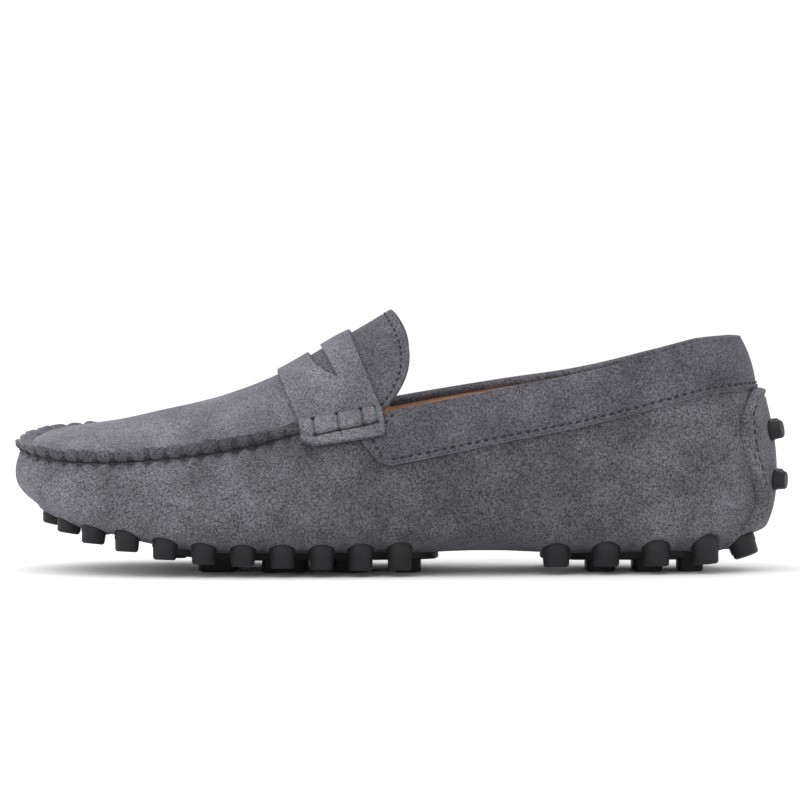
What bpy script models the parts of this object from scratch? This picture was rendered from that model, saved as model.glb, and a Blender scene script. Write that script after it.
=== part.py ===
"""Driving moccasin, left shoe: suede vamp, apron, tongue, strap and collar over studded rubber soles.

The toe points along -X, the lateral side faces -Y and +Z is up. The middle lugs stand on Z = 0,
and the origin is under the middle of the box around the shoe.
"""

import math
from collections import namedtuple

import bmesh
import bpy
import numpy as np
from mathutils import Matrix, Vector
from mathutils.bvhtree import BVHTree


# Last
UPPER_LENGTH = 0.2762
BALL_WIDTH = 0.0970
COLLAR_HEIGHT = 0.0840
SOLE_CLEARANCE = 0.0066
TOE_SPRING = 0.0190
TOE_SPRING_FROM = 0.70
ARCH_LIFT = 0.0012
ARCH_AT = 0.385
ARCH_SPREAD = 0.075
HEEL_LIFT = 0.0022
HEEL_LIFT_FROM = 0.09
SPINE_END = 0.100
SPINE_SWING = 0.0020
BOTTOM_POWER = 2.8
WALL_POWER = 1.7

# Leather and clearances
CLEARANCE = 0.0003
VAMP_WALL = 0.0018
APRON_THICKNESS = 0.0016
STRAP_THICKNESS = 0.0015
BAND_THICKNESS = 0.0009
TAB_THICKNESS = 0.0014
INSOLE_THICKNESS = 0.0024
PLATE_THICKNESS = 0.0012

# Apron edge and raised seam
EDGE_SET = 0.0022
EDGE_RISE = 0.0006
CREST_POWER = 0.85
PUCKER_PITCH = 0.0064
SEAM_HEIGHT = 0.0031
SEAM_FOOT = 0.0012
SEAM_WAVE = 0.22

# Saddle strap
STRAP_FRONT = 0.6120
STRAP_REAR = 0.5020
STRAP_DROP = 0.0078
ROLL_HEIGHT = 0.0024
ROLL_REACH = 0.0048
ROLL_BLOCKS = 4
ROLL_GROOVE = 0.55

# Collar band
BAND_DEPTH = 0.0180
BAND_TURN_IN = 0.0040
BAND_FRONT_TOP = 0.494
BAND_FRONT_MIDDLE = 0.532
BAND_FRONT_LOW = 0.512
BAND_FRONT_ZONE = 0.15

# Rubber soles
STUD_RADIUS = 0.0043
STUD_TAPER = 0.0004
HEEL_STUD_RADIUS = 0.0048
BACK_STUD_RADIUS = 0.0034
BACK_STUD_LENGTH = 0.0045
PAD_PROUD = 0.0026
LUG_CORNER = 0.0016
LUG_LIFT = 2.5

# Mesh counts
COLUMNS = 48
BOTTOM_ROWS = 5
WALL_ROWS = 4
INSOLE_ROWS = 3
PLATE_TO = 0.72
PLUG_COLUMNS = 12
STUD_SIDES = 7
BESIDE_SPINE = 1e-5
STEEPEST_ROOT = 0.7

# Round the last from the heel: along and side place the widest line, as shares of the upper's length
# (heel to toe) and of the ball width (lateral is negative). Widest and rim are heights, as shares of
# the collar height. Inset is how far the rim leans in, as a share of the ball width.
Around = namedtuple("Around", "along side widest inset rim")
AROUND = (
    Around(0.000, 0.000, 0.44, 0.113, 1.010),
    Around(0.028, -0.190, 0.43, 0.108, 1.008),
    Around(0.080, -0.285, 0.40, 0.098, 0.992),
    Around(0.150, -0.332, 0.35, 0.085, 0.938),
    Around(0.250, -0.356, 0.31, 0.072, 0.858),
    Around(0.350, -0.381, 0.29, 0.075, 0.794),
    Around(0.450, -0.423, 0.28, 0.100, 0.726),
    Around(0.520, -0.456, 0.27, 0.137, 0.681),
    Around(0.600, -0.488, 0.27, 0.172, 0.638),
    Around(0.680, -0.500, 0.27, 0.180, 0.567),
    Around(0.760, -0.492, 0.28, 0.165, 0.523),
    Around(0.840, -0.452, 0.30, 0.135, 0.498),
    Around(0.910, -0.370, 0.33, 0.098, 0.487),
    Around(0.962, -0.252, 0.39, 0.060, 0.497),
    Around(0.991, -0.110, 0.42, 0.034, 0.520),
    Around(1.000, 0.030, 0.44, 0.026, 0.540),
    Around(0.991, 0.165, 0.43, 0.034, 0.568),
    Around(0.962, 0.295, 0.40, 0.058, 0.590),
    Around(0.910, 0.395, 0.35, 0.092, 0.588),
    Around(0.840, 0.465, 0.32, 0.125, 0.578),
    Around(0.760, 0.500, 0.30, 0.152, 0.578),
    Around(0.680, 0.493, 0.29, 0.165, 0.608),
    Around(0.600, 0.450, 0.29, 0.152, 0.655),
    Around(0.520, 0.398, 0.30, 0.118, 0.712),
    Around(0.450, 0.360, 0.30, 0.086, 0.756),
    Around(0.350, 0.330, 0.30, 0.068, 0.812),
    Around(0.250, 0.325, 0.31, 0.068, 0.862),
    Around(0.150, 0.318, 0.35, 0.080, 0.938),
    Around(0.080, 0.275, 0.40, 0.096, 0.992),
    Around(0.028, 0.185, 0.43, 0.108, 1.008),
)
TIP_ROW = 15
RING_TURNS_FROM = 0.84

# Apron and tongue from the toe back: edge is where the row leaves the vamp's rim and crest where it
# passes over the top, both as shares of the upper's length, height and bulge as shares of the collar
# height. A row that bulges swells backwards half way up.
Plug = namedtuple("Plug", "edge crest height bulge")
PLUG = (
    Plug(1.000, 0.983, 0.549, 0.0),
    Plug(0.996, 0.980, 0.555, 0.0),
    Plug(0.985, 0.973, 0.568, 0.0),
    Plug(0.960, 0.953, 0.592, 0.0),
    Plug(0.920, 0.922, 0.616, 0.0),
    Plug(0.860, 0.864, 0.652, 0.0),
    Plug(0.800, 0.808, 0.694, 0.0),
    Plug(0.740, 0.753, 0.734, 0.0),
    Plug(0.677, 0.702, 0.785, 0.0),
    Plug(0.623, 0.657, 0.845, 0.0),
    Plug(0.571, 0.614, 0.922, 0.0),
    Plug(0.524, 0.572, 1.005, 0.0),
    Plug(0.502, 0.554, 1.035, 0.0),
    Plug(0.504, 0.527, 1.087, 0.042),
    Plug(0.507, 0.501, 1.140, 0.100),
)
TONGUE_FROM = 10.6

# Heel tab from the top down: height as a share of the collar height, half as a share of the ball
# width, measured round the heel.
Tab = namedtuple("Tab", "height half")
TAB = (
    Tab(0.785, 0.120),
    Tab(0.750, 0.170),
    Tab(0.690, 0.220),
    Tab(0.610, 0.235),
    Tab(0.520, 0.225),
    Tab(0.420, 0.190),
    Tab(0.330, 0.152),
    Tab(0.265, 0.155),
    Tab(0.205, 0.200),
)

# Height of the ring studs' feet along the shoe, as a share of the toe spring.
Foot = namedtuple("Foot", "along height")
FEET = (
    Foot(0.03, 0.320),
    Foot(0.10, 0.160),
    Foot(0.30, 0.145),
    Foot(0.45, 0.115),
    Foot(0.55, 0.115),
    Foot(0.65, 0.170),
    Foot(0.75, 0.250),
    Foot(0.80, 0.335),
    Foot(0.85, 0.490),
    Foot(0.89, 0.605),
    Foot(0.93, 0.810),
    Foot(0.96, 1.000),
    Foot(1.00, 1.200),
)

# A sole: plate_end is the plate's edge at the arch and ring_end the ring's last studs, as shares of
# the upper's length. The ring lies at side_out of the way from the spine to the widest line, and at
# end_out round the toe or heel. The pad's middle and half length are shares of the upper's length,
# its half width a share of the ball width.
Sole = namedtuple(
    "Sole", "plate_end ring_end count side_out end_out radius pad_mid pad_half_long pad_half_wide"
)
FOREFOOT = Sole(0.435, 0.489, 22, 0.81, 0.50, STUD_RADIUS, 0.622, 0.185, 0.275)
HEEL = Sole(0.330, 0.283, 10, 0.72, 0.72, HEEL_STUD_RADIUS, 0.168, 0.098, 0.165)

# Lugs under the pads: mid and half_long as shares of the upper's length, half_wide of the ball width.
Lug = namedtuple("Lug", "mid half_long half_wide")
FOREFOOT_LUGS = (
    Lug(0.785, 0.0150, 0.110),
    Lug(0.729, 0.0260, 0.150),
    Lug(0.640, 0.0310, 0.180),
    Lug(0.553, 0.0240, 0.180),
    Lug(0.478, 0.0180, 0.160),
)
HEEL_LUGS = (
    Lug(0.222, 0.0200, 0.120),
    Lug(0.160, 0.0200, 0.130),
    Lug(0.103, 0.0170, 0.105),
)

# Penny slot from the crest down one flank: down is the share of the way to the seam, front and rear
# its edges as shares of the strap's width.
Slot = namedtuple("Slot", "down front rear")
SLOT = (
    Slot(0.00, 0.337, 0.467),
    Slot(0.30, 0.345, 0.485),
    Slot(0.456, 0.366, 0.495),
    Slot(0.602, 0.428, 0.508),
    Slot(0.66, 0.475, 0.514),
    Slot(0.69, 0.510, 0.518),
)

# Back studs behind the heel, as shares of the collar height and of the ball width
BACK_STUD_HEIGHTS = (0.607, 0.400)
BACK_STUD_SIDE = 0.072
BACK_PLATE_MARGIN = 0.0045

# Colours, linear
SUEDE = (0.150, 0.147, 0.165)
SUEDE_LIGHT = (0.190, 0.187, 0.208)
SUEDE_DARK = (0.112, 0.110, 0.126)
RUBBER = (0.030, 0.030, 0.032)
SOCK = (0.47, 0.24, 0.11)

# What the back carries over the vamp, and where heel and toe then lie
BACK_BUILD = 3 * CLEARANCE + PLATE_THICKNESS + TAB_THICKNESS
HEEL_X = (UPPER_LENGTH - BACK_BUILD - BACK_STUD_LENGTH) / 2
TOE_X = HEEL_X - UPPER_LENGTH
WALL_TOP = 2.0
ACROSS = [-math.cos(math.pi * k / PLUG_COLUMNS) for k in range(PLUG_COLUMNS + 1)]


def spline_tangents(knots, values):
    """Tangents of a closed Catmull-Rom curve over uneven knots; the last value repeats the first."""
    span = np.diff(knots)[:, None]
    slope = np.diff(values, axis=0) / span
    before = np.vstack((slope[-1:], slope))
    after = np.vstack((slope, slope[:1]))
    span_before = np.vstack((span[-1:], span))
    span_after = np.vstack((span, span[:1]))
    return (before * span_after + after * span_before) / (span_before + span_after)


def spline_at(knots, values, tangents, at):
    """Value and slope of the curve at one place."""
    i = int(np.clip(np.searchsorted(knots, at, side="right") - 1, 0, len(knots) - 2))
    span = knots[i + 1] - knots[i]
    f = (at - knots[i]) / span
    value = (
        (1 + 2 * f) * (1 - f) ** 2 * values[i]
        + f * (1 - f) ** 2 * span * tangents[i]
        + f * f * (3 - 2 * f) * values[i + 1]
        + f * f * (f - 1) * span * tangents[i + 1]
    )
    slope = (
        6 * f * (f - 1) / span * values[i]
        + (1 - f) * (1 - 3 * f) * tangents[i]
        + 6 * f * (1 - f) / span * values[i + 1]
        + f * (3 * f - 2) * tangents[i + 1]
    )
    return value, slope


def table_curve(rows, column, along):
    """One column of a table, read smoothly at a place along its first column."""
    places = [row[0] for row in rows]
    values = [getattr(row, column) for row in rows]
    i = max(0, min(len(places) - 2, sum(1 for place in places if place <= along) - 1))
    f = max(0.0, min(1.0, (along - places[i]) / (places[i + 1] - places[i])))
    slopes = [
        (values[min(k + 1, len(values) - 1)] - values[max(k - 1, 0)])
        / (places[min(k + 1, len(places) - 1)] - places[max(k - 1, 0)])
        for k in (i, i + 1)
    ]
    span = places[i + 1] - places[i]
    return (
        (1 + 2 * f) * (1 - f) ** 2 * values[i]
        + f * (1 - f) ** 2 * span * slopes[0]
        + f * f * (3 - 2 * f) * values[i + 1]
        + f * f * (f - 1) * span * slopes[1]
    )


def around_arrays():
    """The table round the last in metres, its knots by distance round the shoe, and its tangents."""
    values = np.array(
        [
            (
                HEEL_X - row.along * UPPER_LENGTH,
                row.side * BALL_WIDTH,
                row.widest * COLLAR_HEIGHT,
                row.inset * BALL_WIDTH,
                row.rim * COLLAR_HEIGHT,
            )
            for row in AROUND + AROUND[:1]
        ]
    )
    steps = np.hypot(np.diff(values[:, 0]), np.diff(values[:, 1]))
    knots = np.concatenate(([0.0], np.cumsum(steps)))
    return knots, values, spline_tangents(knots, values)


KNOTS, ROUND, ROUND_TANGENTS = around_arrays()


def around(u):
    """Place, heights and outward direction at a share of the way round: 0 heel, 0.5 toe tip."""
    u %= 1.0
    tip, end = KNOTS[TIP_ROW], KNOTS[-1]
    at = 2 * u * tip if u < 0.5 else tip + (2 * u - 1) * (end - tip)
    value, slope = spline_at(KNOTS, ROUND, ROUND_TANGENTS, at)
    outward = Vector((-slope[1], slope[0], 0.0)).normalized()
    return value, outward


def side_share(along, medial):
    """Where the widest line passes a share of the length, on one side of the shoe."""
    near, far = (1.0, 0.5) if medial else (0.0, 0.5)
    if along >= 1.0:
        return far
    x = HEEL_X - along * UPPER_LENGTH
    for _ in range(40):
        middle = (near + far) / 2
        if around(middle)[0][0] > x:
            near = middle
        else:
            far = middle
    return (near + far) / 2


def keel(x):
    """Height of the bottom's centre line."""
    along = (HEEL_X - x) / UPPER_LENGTH
    toe = max(0.0, (along - TOE_SPRING_FROM) / (1 - TOE_SPRING_FROM))
    heel = max(0.0, (HEEL_LIFT_FROM - along) / HEEL_LIFT_FROM)
    arch = math.exp(-(((along - ARCH_AT) / ARCH_SPREAD) ** 2))
    return SOLE_CLEARANCE + TOE_SPRING * toe**1.7 + HEEL_LIFT * heel**2 + ARCH_LIFT * arch


def spine(u):
    """Point of the centre line that a column starts from; both sides share it."""
    share = round(min(u % 1.0, 1.0 - u % 1.0), 9)
    x = (around(share)[0][0] + around(1.0 - share)[0][0]) / 2
    x = max(TOE_X + SPINE_END * UPPER_LENGTH, min(HEEL_X - SPINE_END * UPPER_LENGTH, x))
    return Vector((x, SPINE_SWING * (HEEL_X - x) / UPPER_LENGTH, 0.0))


def shell_point(u, v):
    """The upper's outer surface: v runs 0 to 1 under the foot and 1 to 2 up the wall."""
    (x, y, widest, inset, rim), outward = around(u)
    edge = Vector((x, y, 0.0))
    if v <= 1.0:
        turn = max(0.0, v) * math.pi / 2
        out = math.sin(turn) ** (2 / BOTTOM_POWER)
        rise = 1 - math.cos(turn) ** (2 / BOTTOM_POWER)
        start = spine(u)
        point = start + (edge - start) * out
        low = keel(point.x)
        point.z = low + (widest - low) * rise
        return point
    climb = v - 1.0
    point = edge - outward * (inset * climb**WALL_POWER)
    point.z = widest + (rim - widest) * climb
    return point


def shell_normal(u, v):
    """Outward direction of the upper's surface."""
    if v < 0.01:
        x, step = spine(u).x, 0.001
        return Vector(((keel(x + step) - keel(x - step)) / (2 * step), 0.0, -1.0)).normalized()
    low, high = max(0.03, v - 0.01), min(WALL_TOP, max(0.05, v + 0.01))
    middle = max(v, 0.04)
    up = shell_point(u, high) - shell_point(u, low)
    forward = shell_point(u + 0.0015, middle) - shell_point(u - 0.0015, middle)
    return up.cross(forward).normalized()


def shell(u, v, off=0.0):
    """A layer of the upper, off its outer surface."""
    return shell_point(u, v) + shell_normal(u, v) * off


def wall_place(u, height):
    """Row of the wall that lies at a height."""
    (_, _, widest, _, rim), _ = around(u)
    return 1.0 + (height - widest) / (rim - widest)


def plug_value(row, column):
    """One column of the plug's table, read smoothly at a row number."""
    values = [getattr(entry, column) for entry in PLUG]
    i = max(0, min(len(values) - 2, int(row)))
    f = row - i
    back, ahead = max(i - 1, 0), min(i + 2, len(values) - 1)
    first = (values[i + 1] - values[back]) / (i + 1 - back)
    last = (values[ahead] - values[i]) / (ahead - i)
    return (
        (1 + 2 * f) * (1 - f) ** 2 * values[i]
        + f * (1 - f) ** 2 * first
        + f * f * (3 - 2 * f) * values[i + 1]
        + f * f * (f - 1) * last
    )


def plug_row(edge):
    """Row number at which the plug's edge passes a share of the length, ahead of the tongue."""
    near, far = 0.0, 12.0
    for _ in range(40):
        middle = (near + far) / 2
        if plug_value(middle, "edge") > edge:
            near = middle
        else:
            far = middle
    return (near + far) / 2


def plug_edge(row, medial):
    """Where the plug's edge lies inside the vamp's rim."""
    u = side_share(min(1.0, plug_value(row, "edge")), medial)
    outward = around(u)[1]
    return shell_point(u, WALL_TOP) - outward * EDGE_SET + Vector((0, 0, EDGE_RISE))


def plug_point(row, across):
    """Outer surface of apron and tongue: across runs from -1 lateral to 1 medial."""
    lateral, medial = plug_edge(row, False), plug_edge(row, True)
    middle = (lateral + medial) / 2
    x = HEEL_X - plug_value(row, "crest") * UPPER_LENGTH
    crest = Vector((x, middle.y, plug_value(row, "height") * COLLAR_HEIGHT))
    climb = max(0.0, 1 - across * across) ** CREST_POWER
    point = lateral.lerp(medial, (across + 1) / 2) + (crest - middle) * climb
    point.x += 4 * climb * (1 - climb) * plug_value(row, "bulge") * COLLAR_HEIGHT
    return point


def plug_normal(row, across):
    """Upward direction of the plug's surface."""
    row = max(0.35, min(len(PLUG) - 1.02, row))
    inner = max(-0.98, min(0.98, across))
    over = plug_point(row, inner + 0.02) - plug_point(row, inner - 0.02)
    back = plug_point(row + 0.02, inner) - plug_point(row - 0.02, inner)
    return back.cross(over).normalized()


def plug(row, across, off=0.0):
    """A layer of the plug, off its outer surface."""
    return plug_point(row, across) + plug_normal(row, across) * off


def remove_everything():
    """Empty the scene that the script starts in."""
    for thing in list(bpy.data.objects):
        bpy.data.objects.remove(thing, do_unlink=True)


def collection(name):
    """A collection under the scene's own."""
    made = bpy.data.collections.new(name)
    bpy.context.scene.collection.children.link(made)
    return made


def material(name, colour, roughness):
    """A plain surface of one colour."""
    made = bpy.data.materials.new(name)
    made.use_nodes = True
    shader = made.node_tree.nodes["Principled BSDF"]
    shader.inputs["Base Color"].default_value = (*colour, 1.0)
    shader.inputs["Roughness"].default_value = roughness
    shader.inputs["Metallic"].default_value = 0.0
    return made


def object_from(name, form, group, surface=None):
    """Turn a bmesh into an object with its faces outward."""
    bmesh.ops.recalc_face_normals(form, faces=form.faces)
    if form.calc_volume(signed=True) < 0:
        bmesh.ops.reverse_faces(form, faces=form.faces)
    mesh = bpy.data.meshes.new(name)
    form.to_mesh(mesh)
    form.free()
    if surface:
        mesh.materials.append(surface)
    mesh.shade_smooth()
    mesh.set_sharp_from_angle(angle=math.radians(40))
    made = bpy.data.objects.new(name, mesh)
    group.objects.link(made)
    return made


def sheet(name, outer, inner, group, surface=None, closed=False):
    """A solid between two grids of points alike in rows and columns; points that meet are joined."""
    form = bmesh.new()
    outer_verts, inner_verts, met = {}, {}, {}
    for r, row in enumerate(outer):
        for c, point in enumerate(row):
            key = tuple(round(value, 7) for value in point)
            if key not in met:
                met[key] = (form.verts.new(point), form.verts.new(inner[r][c]))
            outer_verts[r, c], inner_verts[r, c] = met[key]
    rows, columns = len(outer), len(outer[0])
    edges = {}
    for r in range(rows - 1):
        for c in range(columns if closed else columns - 1):
            following = (c + 1) % columns
            corners = ((r, c), (r, following), (r + 1, following), (r + 1, c))
            ring = list(dict.fromkeys(outer_verts[corner] for corner in corners))
            if len(ring) < 3:
                continue
            form.faces.new(ring)
            inside = list(dict.fromkeys(inner_verts[corner] for corner in corners))
            form.faces.new(reversed(inside))
            for first, second in zip(corners, corners[1:] + corners[:1]):
                pair = (outer_verts[first], outer_verts[second])
                if pair[0] is not pair[1]:
                    sides = (inner_verts[second], inner_verts[first])
                    edges.setdefault(frozenset(pair), []).append((*pair, *sides))
    for uses in edges.values():
        if len(uses) == 1:
            form.faces.new(reversed(uses[0]))
    return object_from(name, form, group, surface)


def tube(name, sections, group, surface=None, closed=False):
    """A solid through rings of points alike in number, capped at its ends or closed on itself."""
    form = bmesh.new()
    rings = [[form.verts.new(point) for point in section] for section in sections]
    count = len(rings[0])
    pairs = zip(rings, rings[1:] + rings[:1]) if closed else zip(rings, rings[1:])
    for ring, following in pairs:
        for k in range(count):
            after = (k + 1) % count
            form.faces.new((ring[k], ring[after], following[after], following[k]))
    if not closed:
        form.faces.new(reversed(rings[0]))
        form.faces.new(rings[-1])
    return object_from(name, form, group, surface)


def boolean(target, tool, operation, solver="EXACT"):
    """Cut a piece with another, or join one to it."""
    step = target.modifiers.new(operation.title() + " " + tool.name, "BOOLEAN")
    step.operation = operation
    step.object = tool
    step.solver = solver


def axis_frame(axis):
    """Two directions square to a stud's axis, the same for the stud and its hole."""
    side = axis.orthogonal().normalized()
    return side, axis.cross(side)


def add_stud(form, base, axis, radii, start, end):
    """A round stud or hole in a bmesh, along an axis from start to end past its base point."""
    side, across = axis_frame(axis)
    placed = Matrix((side, across, axis)).transposed().to_4x4()
    placed.translation = base + axis * (start + end) / 2
    bmesh.ops.create_cone(
        form,
        cap_ends=True,
        segments=STUD_SIDES,
        radius1=radii[0],
        radius2=radii[1],
        depth=end - start,
        matrix=placed,
    )


def add_rooted_stud(form, base, axis, radius, root, end, tree):
    """A tapered stud whose inner end follows the sole's bottom, a depth inside its surface."""
    side, across = axis_frame(axis)
    foot, head = [], []
    for k in range(STUD_SIDES):
        turn = 2 * math.pi * k / STUD_SIDES
        around_axis = side * math.sin(turn) + across * math.cos(turn)
        foot.append(form.verts.new(base + axis * end + around_axis * (radius - STUD_TAPER)))
        below = base + axis * 2 * SOLE_CLEARANCE + around_axis * (radius + STUD_TAPER)
        place, normal, _, _ = tree.ray_cast(below, -axis)
        head.append(form.verts.new(place - axis * root / max(STEEPEST_ROOT, normal.dot(axis))))
    form.faces.new(foot)
    form.faces.new(reversed(head))
    for k in range(STUD_SIDES):
        after = (k + 1) % STUD_SIDES
        form.faces.new((foot[k], head[k], head[after], foot[after]))


def columns_between(first, last):
    """Whole columns of the vamp from one share round to another."""
    return range(math.ceil(first * COLUMNS), math.floor(last * COLUMNS) + 1)


def make_vamp(group, cutters, surface):
    """The suede body: bottom and walls in one, open at the top."""
    rows = [r / BOTTOM_ROWS for r in range(BOTTOM_ROWS)]
    rows += [1.0 + r / WALL_ROWS for r in range(WALL_ROWS + 1)]
    shares = [c / COLUMNS for c in range(COLUMNS)]
    outer = [[shell(u, v) for u in shares] for v in rows]
    inner = [[shell(u, v, -VAMP_WALL) for u in shares] for v in rows]
    vamp = sheet("vamp", outer, inner, group, surface, closed=True)
    for cutter in cutters:
        boolean(vamp, cutter, "DIFFERENCE")


def make_plug_piece(name, rows, group, surface):
    """Apron or tongue: a stretch of the plug."""
    outer = [[plug(row, a) for a in ACROSS] for row in rows]
    inner = [[plug(row, a, -APRON_THICKNESS) for a in ACROSS] for row in rows]
    sheet(name, outer, inner, group, surface)


def plug_tree():
    """The plug's outer surface ahead of the strap, finely divided, to find heights on."""
    rows, columns = 60, 40
    last = plug_row(STRAP_FRONT)
    points = [
        plug_point(last * r / rows, -math.cos(math.pi * c / columns))
        for r in range(rows + 1)
        for c in range(columns + 1)
    ]
    stride = columns + 1
    faces = [
        (r * stride + c, r * stride + c + 1, (r + 1) * stride + c + 1, (r + 1) * stride + c)
        for r in range(rows)
        for c in range(columns)
    ]
    return BVHTree.FromPolygons(points, faces)


def make_seam(group, surface):
    """The gathered ridge over the joint of vamp and apron, from one strap end round the toe."""
    tree = plug_tree()
    front = STRAP_FRONT + 0.006
    first, last = side_share(front, False), side_share(front, True)
    tip, end = KNOTS[TIP_ROW], KNOTS[-1]
    count = 2 * round(((0.5 - first) * 2 * tip + (last - 0.5) * 2 * (end - tip)) / PUCKER_PITCH)
    sections = []
    for k in range(count + 1):
        u = first + (last - first) * k / count
        outward = around(u)[1]
        rim = shell_point(u, WALL_TOP)
        wave = 1 + SEAM_WAVE * (1 if k % 2 else -1)
        height = SEAM_HEIGHT * wave
        lean = (outward + shell_normal(u, WALL_TOP)).normalized()
        up = (shell_normal(u, WALL_TOP) + Vector((0, 0, 1))).normalized()
        low = shell(u, WALL_TOP - 0.09, 3 * CLEARANCE)
        heart = rim + up * 2 * CLEARANCE - outward * EDGE_SET * 0.4
        inside = rim - outward * (EDGE_SET + SEAM_FOOT) + Vector((0, 0, EDGE_RISE))
        hit = tree.ray_cast(inside + Vector((0, 0, COLLAR_HEIGHT)), Vector((0, 0, -1)))[0]
        inside.z = max(inside.z, hit.z if hit else 0.0) + 5 * CLEARANCE
        sections.append(
            [
                low,
                low + lean * height * 0.55,
                rim + up * height + outward * 0.0002,
                rim + up * (height + 0.0002) - outward * EDGE_SET * 0.9,
                inside,
                heart,
            ]
        )
    tube("moc_seam", sections, group, surface)


def saddle(width, across, off_wall, off_plug, outer):
    """A layer of the strap: across past -1 or 1 runs down the wall, to its foot at -2 or 2."""
    row = plug_row(STRAP_FRONT) + width * (plug_row(STRAP_REAR) - plug_row(STRAP_FRONT))
    groove = 0.5 - 0.5 * math.cos(2 * math.pi * ROLL_BLOCKS * width)
    roll = ROLL_HEIGHT * (1 - ROLL_GROOVE * (1 - groove)) if outer else 0.0
    if abs(across) <= 1:
        reach = (1 - abs(across)) * BALL_WIDTH / 3
        bump = math.exp(-((reach / ROLL_REACH) ** 2)) * roll
        share = max(0.0, 1 - reach / ROLL_REACH)
        off = off_plug + (off_wall - off_plug) * share * 0.5 + bump
        return plug(row, across, off)
    u = side_share(plug_value(row, "edge"), across > 0)
    rim = around(u)[0][4]
    drop = (abs(across) - 1) * STRAP_DROP
    bump = math.exp(-((drop / ROLL_REACH) ** 2)) * roll
    return shell(u, wall_place(u, rim - drop), off_wall + bump)


def make_strap(group, tools, surface):
    """The strap over the instep, its ends rolled and stitched down, with the slot cut out."""
    wall = [2.0, 1.75, 1.4, 1.04]
    across = [-a for a in wall] + ACROSS + list(reversed(wall))
    widths = [k / (2 * ROLL_BLOCKS) for k in range(2 * ROLL_BLOCKS + 1)]
    off_wall = 3 * CLEARANCE + BAND_THICKNESS
    inner = [[saddle(w, a, off_wall, CLEARANCE, False) for a in across] for w in widths]
    grown = STRAP_THICKNESS
    outer = [
        [saddle(w, a, off_wall + grown, CLEARANCE + grown, True) for a in across] for w in widths
    ]
    strap = sheet("saddle_strap", outer, inner, group, surface)
    first, last = plug_row(STRAP_FRONT), plug_row(STRAP_REAR)
    stops = [-entry.down for entry in reversed(SLOT)] + [entry.down for entry in SLOT[1:]]
    rows = []
    for stop in stops:
        front = table_curve(SLOT, "front", abs(stop))
        rear = table_curve(SLOT, "rear", abs(stop))
        rows.append([(first + (last - first) * w, stop) for w in (front, (front + rear) / 2, rear)])
    above = [[plug(row, a, 4 * STRAP_THICKNESS) for row, a in line] for line in rows]
    below = [[plug(row, a, -STRAP_THICKNESS) for row, a in line] for line in rows]
    boolean(strap, sheet("slot_cutter", above, below, tools), "DIFFERENCE")


def make_band(group, surface):
    """The collar band: down the outside, over the top line and a little way inside."""
    first, last = side_share(BAND_FRONT_TOP, False), side_share(BAND_FRONT_TOP, True)
    middles = side_share(BAND_FRONT_MIDDLE, False), side_share(BAND_FRONT_MIDDLE, True) - 1
    lows = side_share(BAND_FRONT_LOW, False), side_share(BAND_FRONT_LOW, True) - 1
    stops = [first] + [c / COLUMNS for c in range(int(first * COLUMNS), 0, -1)] + [0.0]
    stops += [-c / COLUMNS for c in range(1, int((1 - last) * COLUMNS) + 1)] + [last - 1]
    outside, inside = CLEARANCE, -VAMP_WALL - CLEARANCE
    sections = []
    for u in stops:
        rim = around(u)[0][4]
        side = 0 if u > 0 else 1
        end = (first, last - 1)[side]
        near = max(0.0, u / end - 1 + BAND_FRONT_ZONE) / BAND_FRONT_ZONE
        low_u = u * (1 + (lows[side] / end - 1) * near)
        mid_u = u * (1 + (middles[side] / end - 1) * near)
        low = wall_place(low_u, around(low_u)[0][4] - BAND_DEPTH)
        mid = wall_place(mid_u, around(mid_u)[0][4] - BAND_DEPTH / 2)
        turn = wall_place(u, rim - BAND_TURN_IN)
        top = Vector((0, 0, CLEARANCE))
        over = Vector((0, 0, CLEARANCE + BAND_THICKNESS))
        sections.append(
            [
                shell(low_u, low, outside + BAND_THICKNESS),
                shell(mid_u, mid, outside + BAND_THICKNESS),
                shell(u, WALL_TOP, outside + BAND_THICKNESS) + top,
                shell(u, WALL_TOP, -VAMP_WALL * 0.2) + over,
                shell(u, WALL_TOP, inside + 0.0006) + over,
                shell(u, WALL_TOP, inside - BAND_THICKNESS) + top,
                shell(u, turn, inside - BAND_THICKNESS),
                shell(u, turn, inside),
                shell(u, WALL_TOP, inside) + top,
                shell(u, WALL_TOP, outside) + top,
                shell(mid_u, mid, outside),
                shell(low_u, low, outside),
            ]
        )
    tube("collar_band", sections, group, surface)


def heel_share(distance):
    """Share round the last at a distance from the heel's back, lateral if positive."""
    tip, end = KNOTS[TIP_ROW], KNOTS[-1]
    return distance / (2 * tip) if distance > 0 else distance / (2 * (end - tip))


def back_place(distance, height, off):
    """A point over the heel's back, at a distance round it and a height."""
    u = heel_share(distance)
    (_, _, widest, _, _), _ = around(u)
    if height >= widest:
        return shell(u, wall_place(u, height), off), shell_normal(u, wall_place(u, height))
    low, high = 0.0, 1.0
    for _ in range(30):
        middle = (low + high) / 2
        if shell_point(u, middle).z < height:
            low = middle
        else:
            high = middle
    return shell(u, low, off), shell_normal(u, low)


def back_layer(off, shares=(-1.0, -0.67, -0.33, 0.0, 0.33, 0.67, 1.0)):
    """A grid over the heel tab's outline, off the vamp."""
    return [
        [back_place(row.half * BALL_WIDTH * s, row.height * COLLAR_HEIGHT, off)[0] for s in shares]
        for row in TAB
    ]


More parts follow.
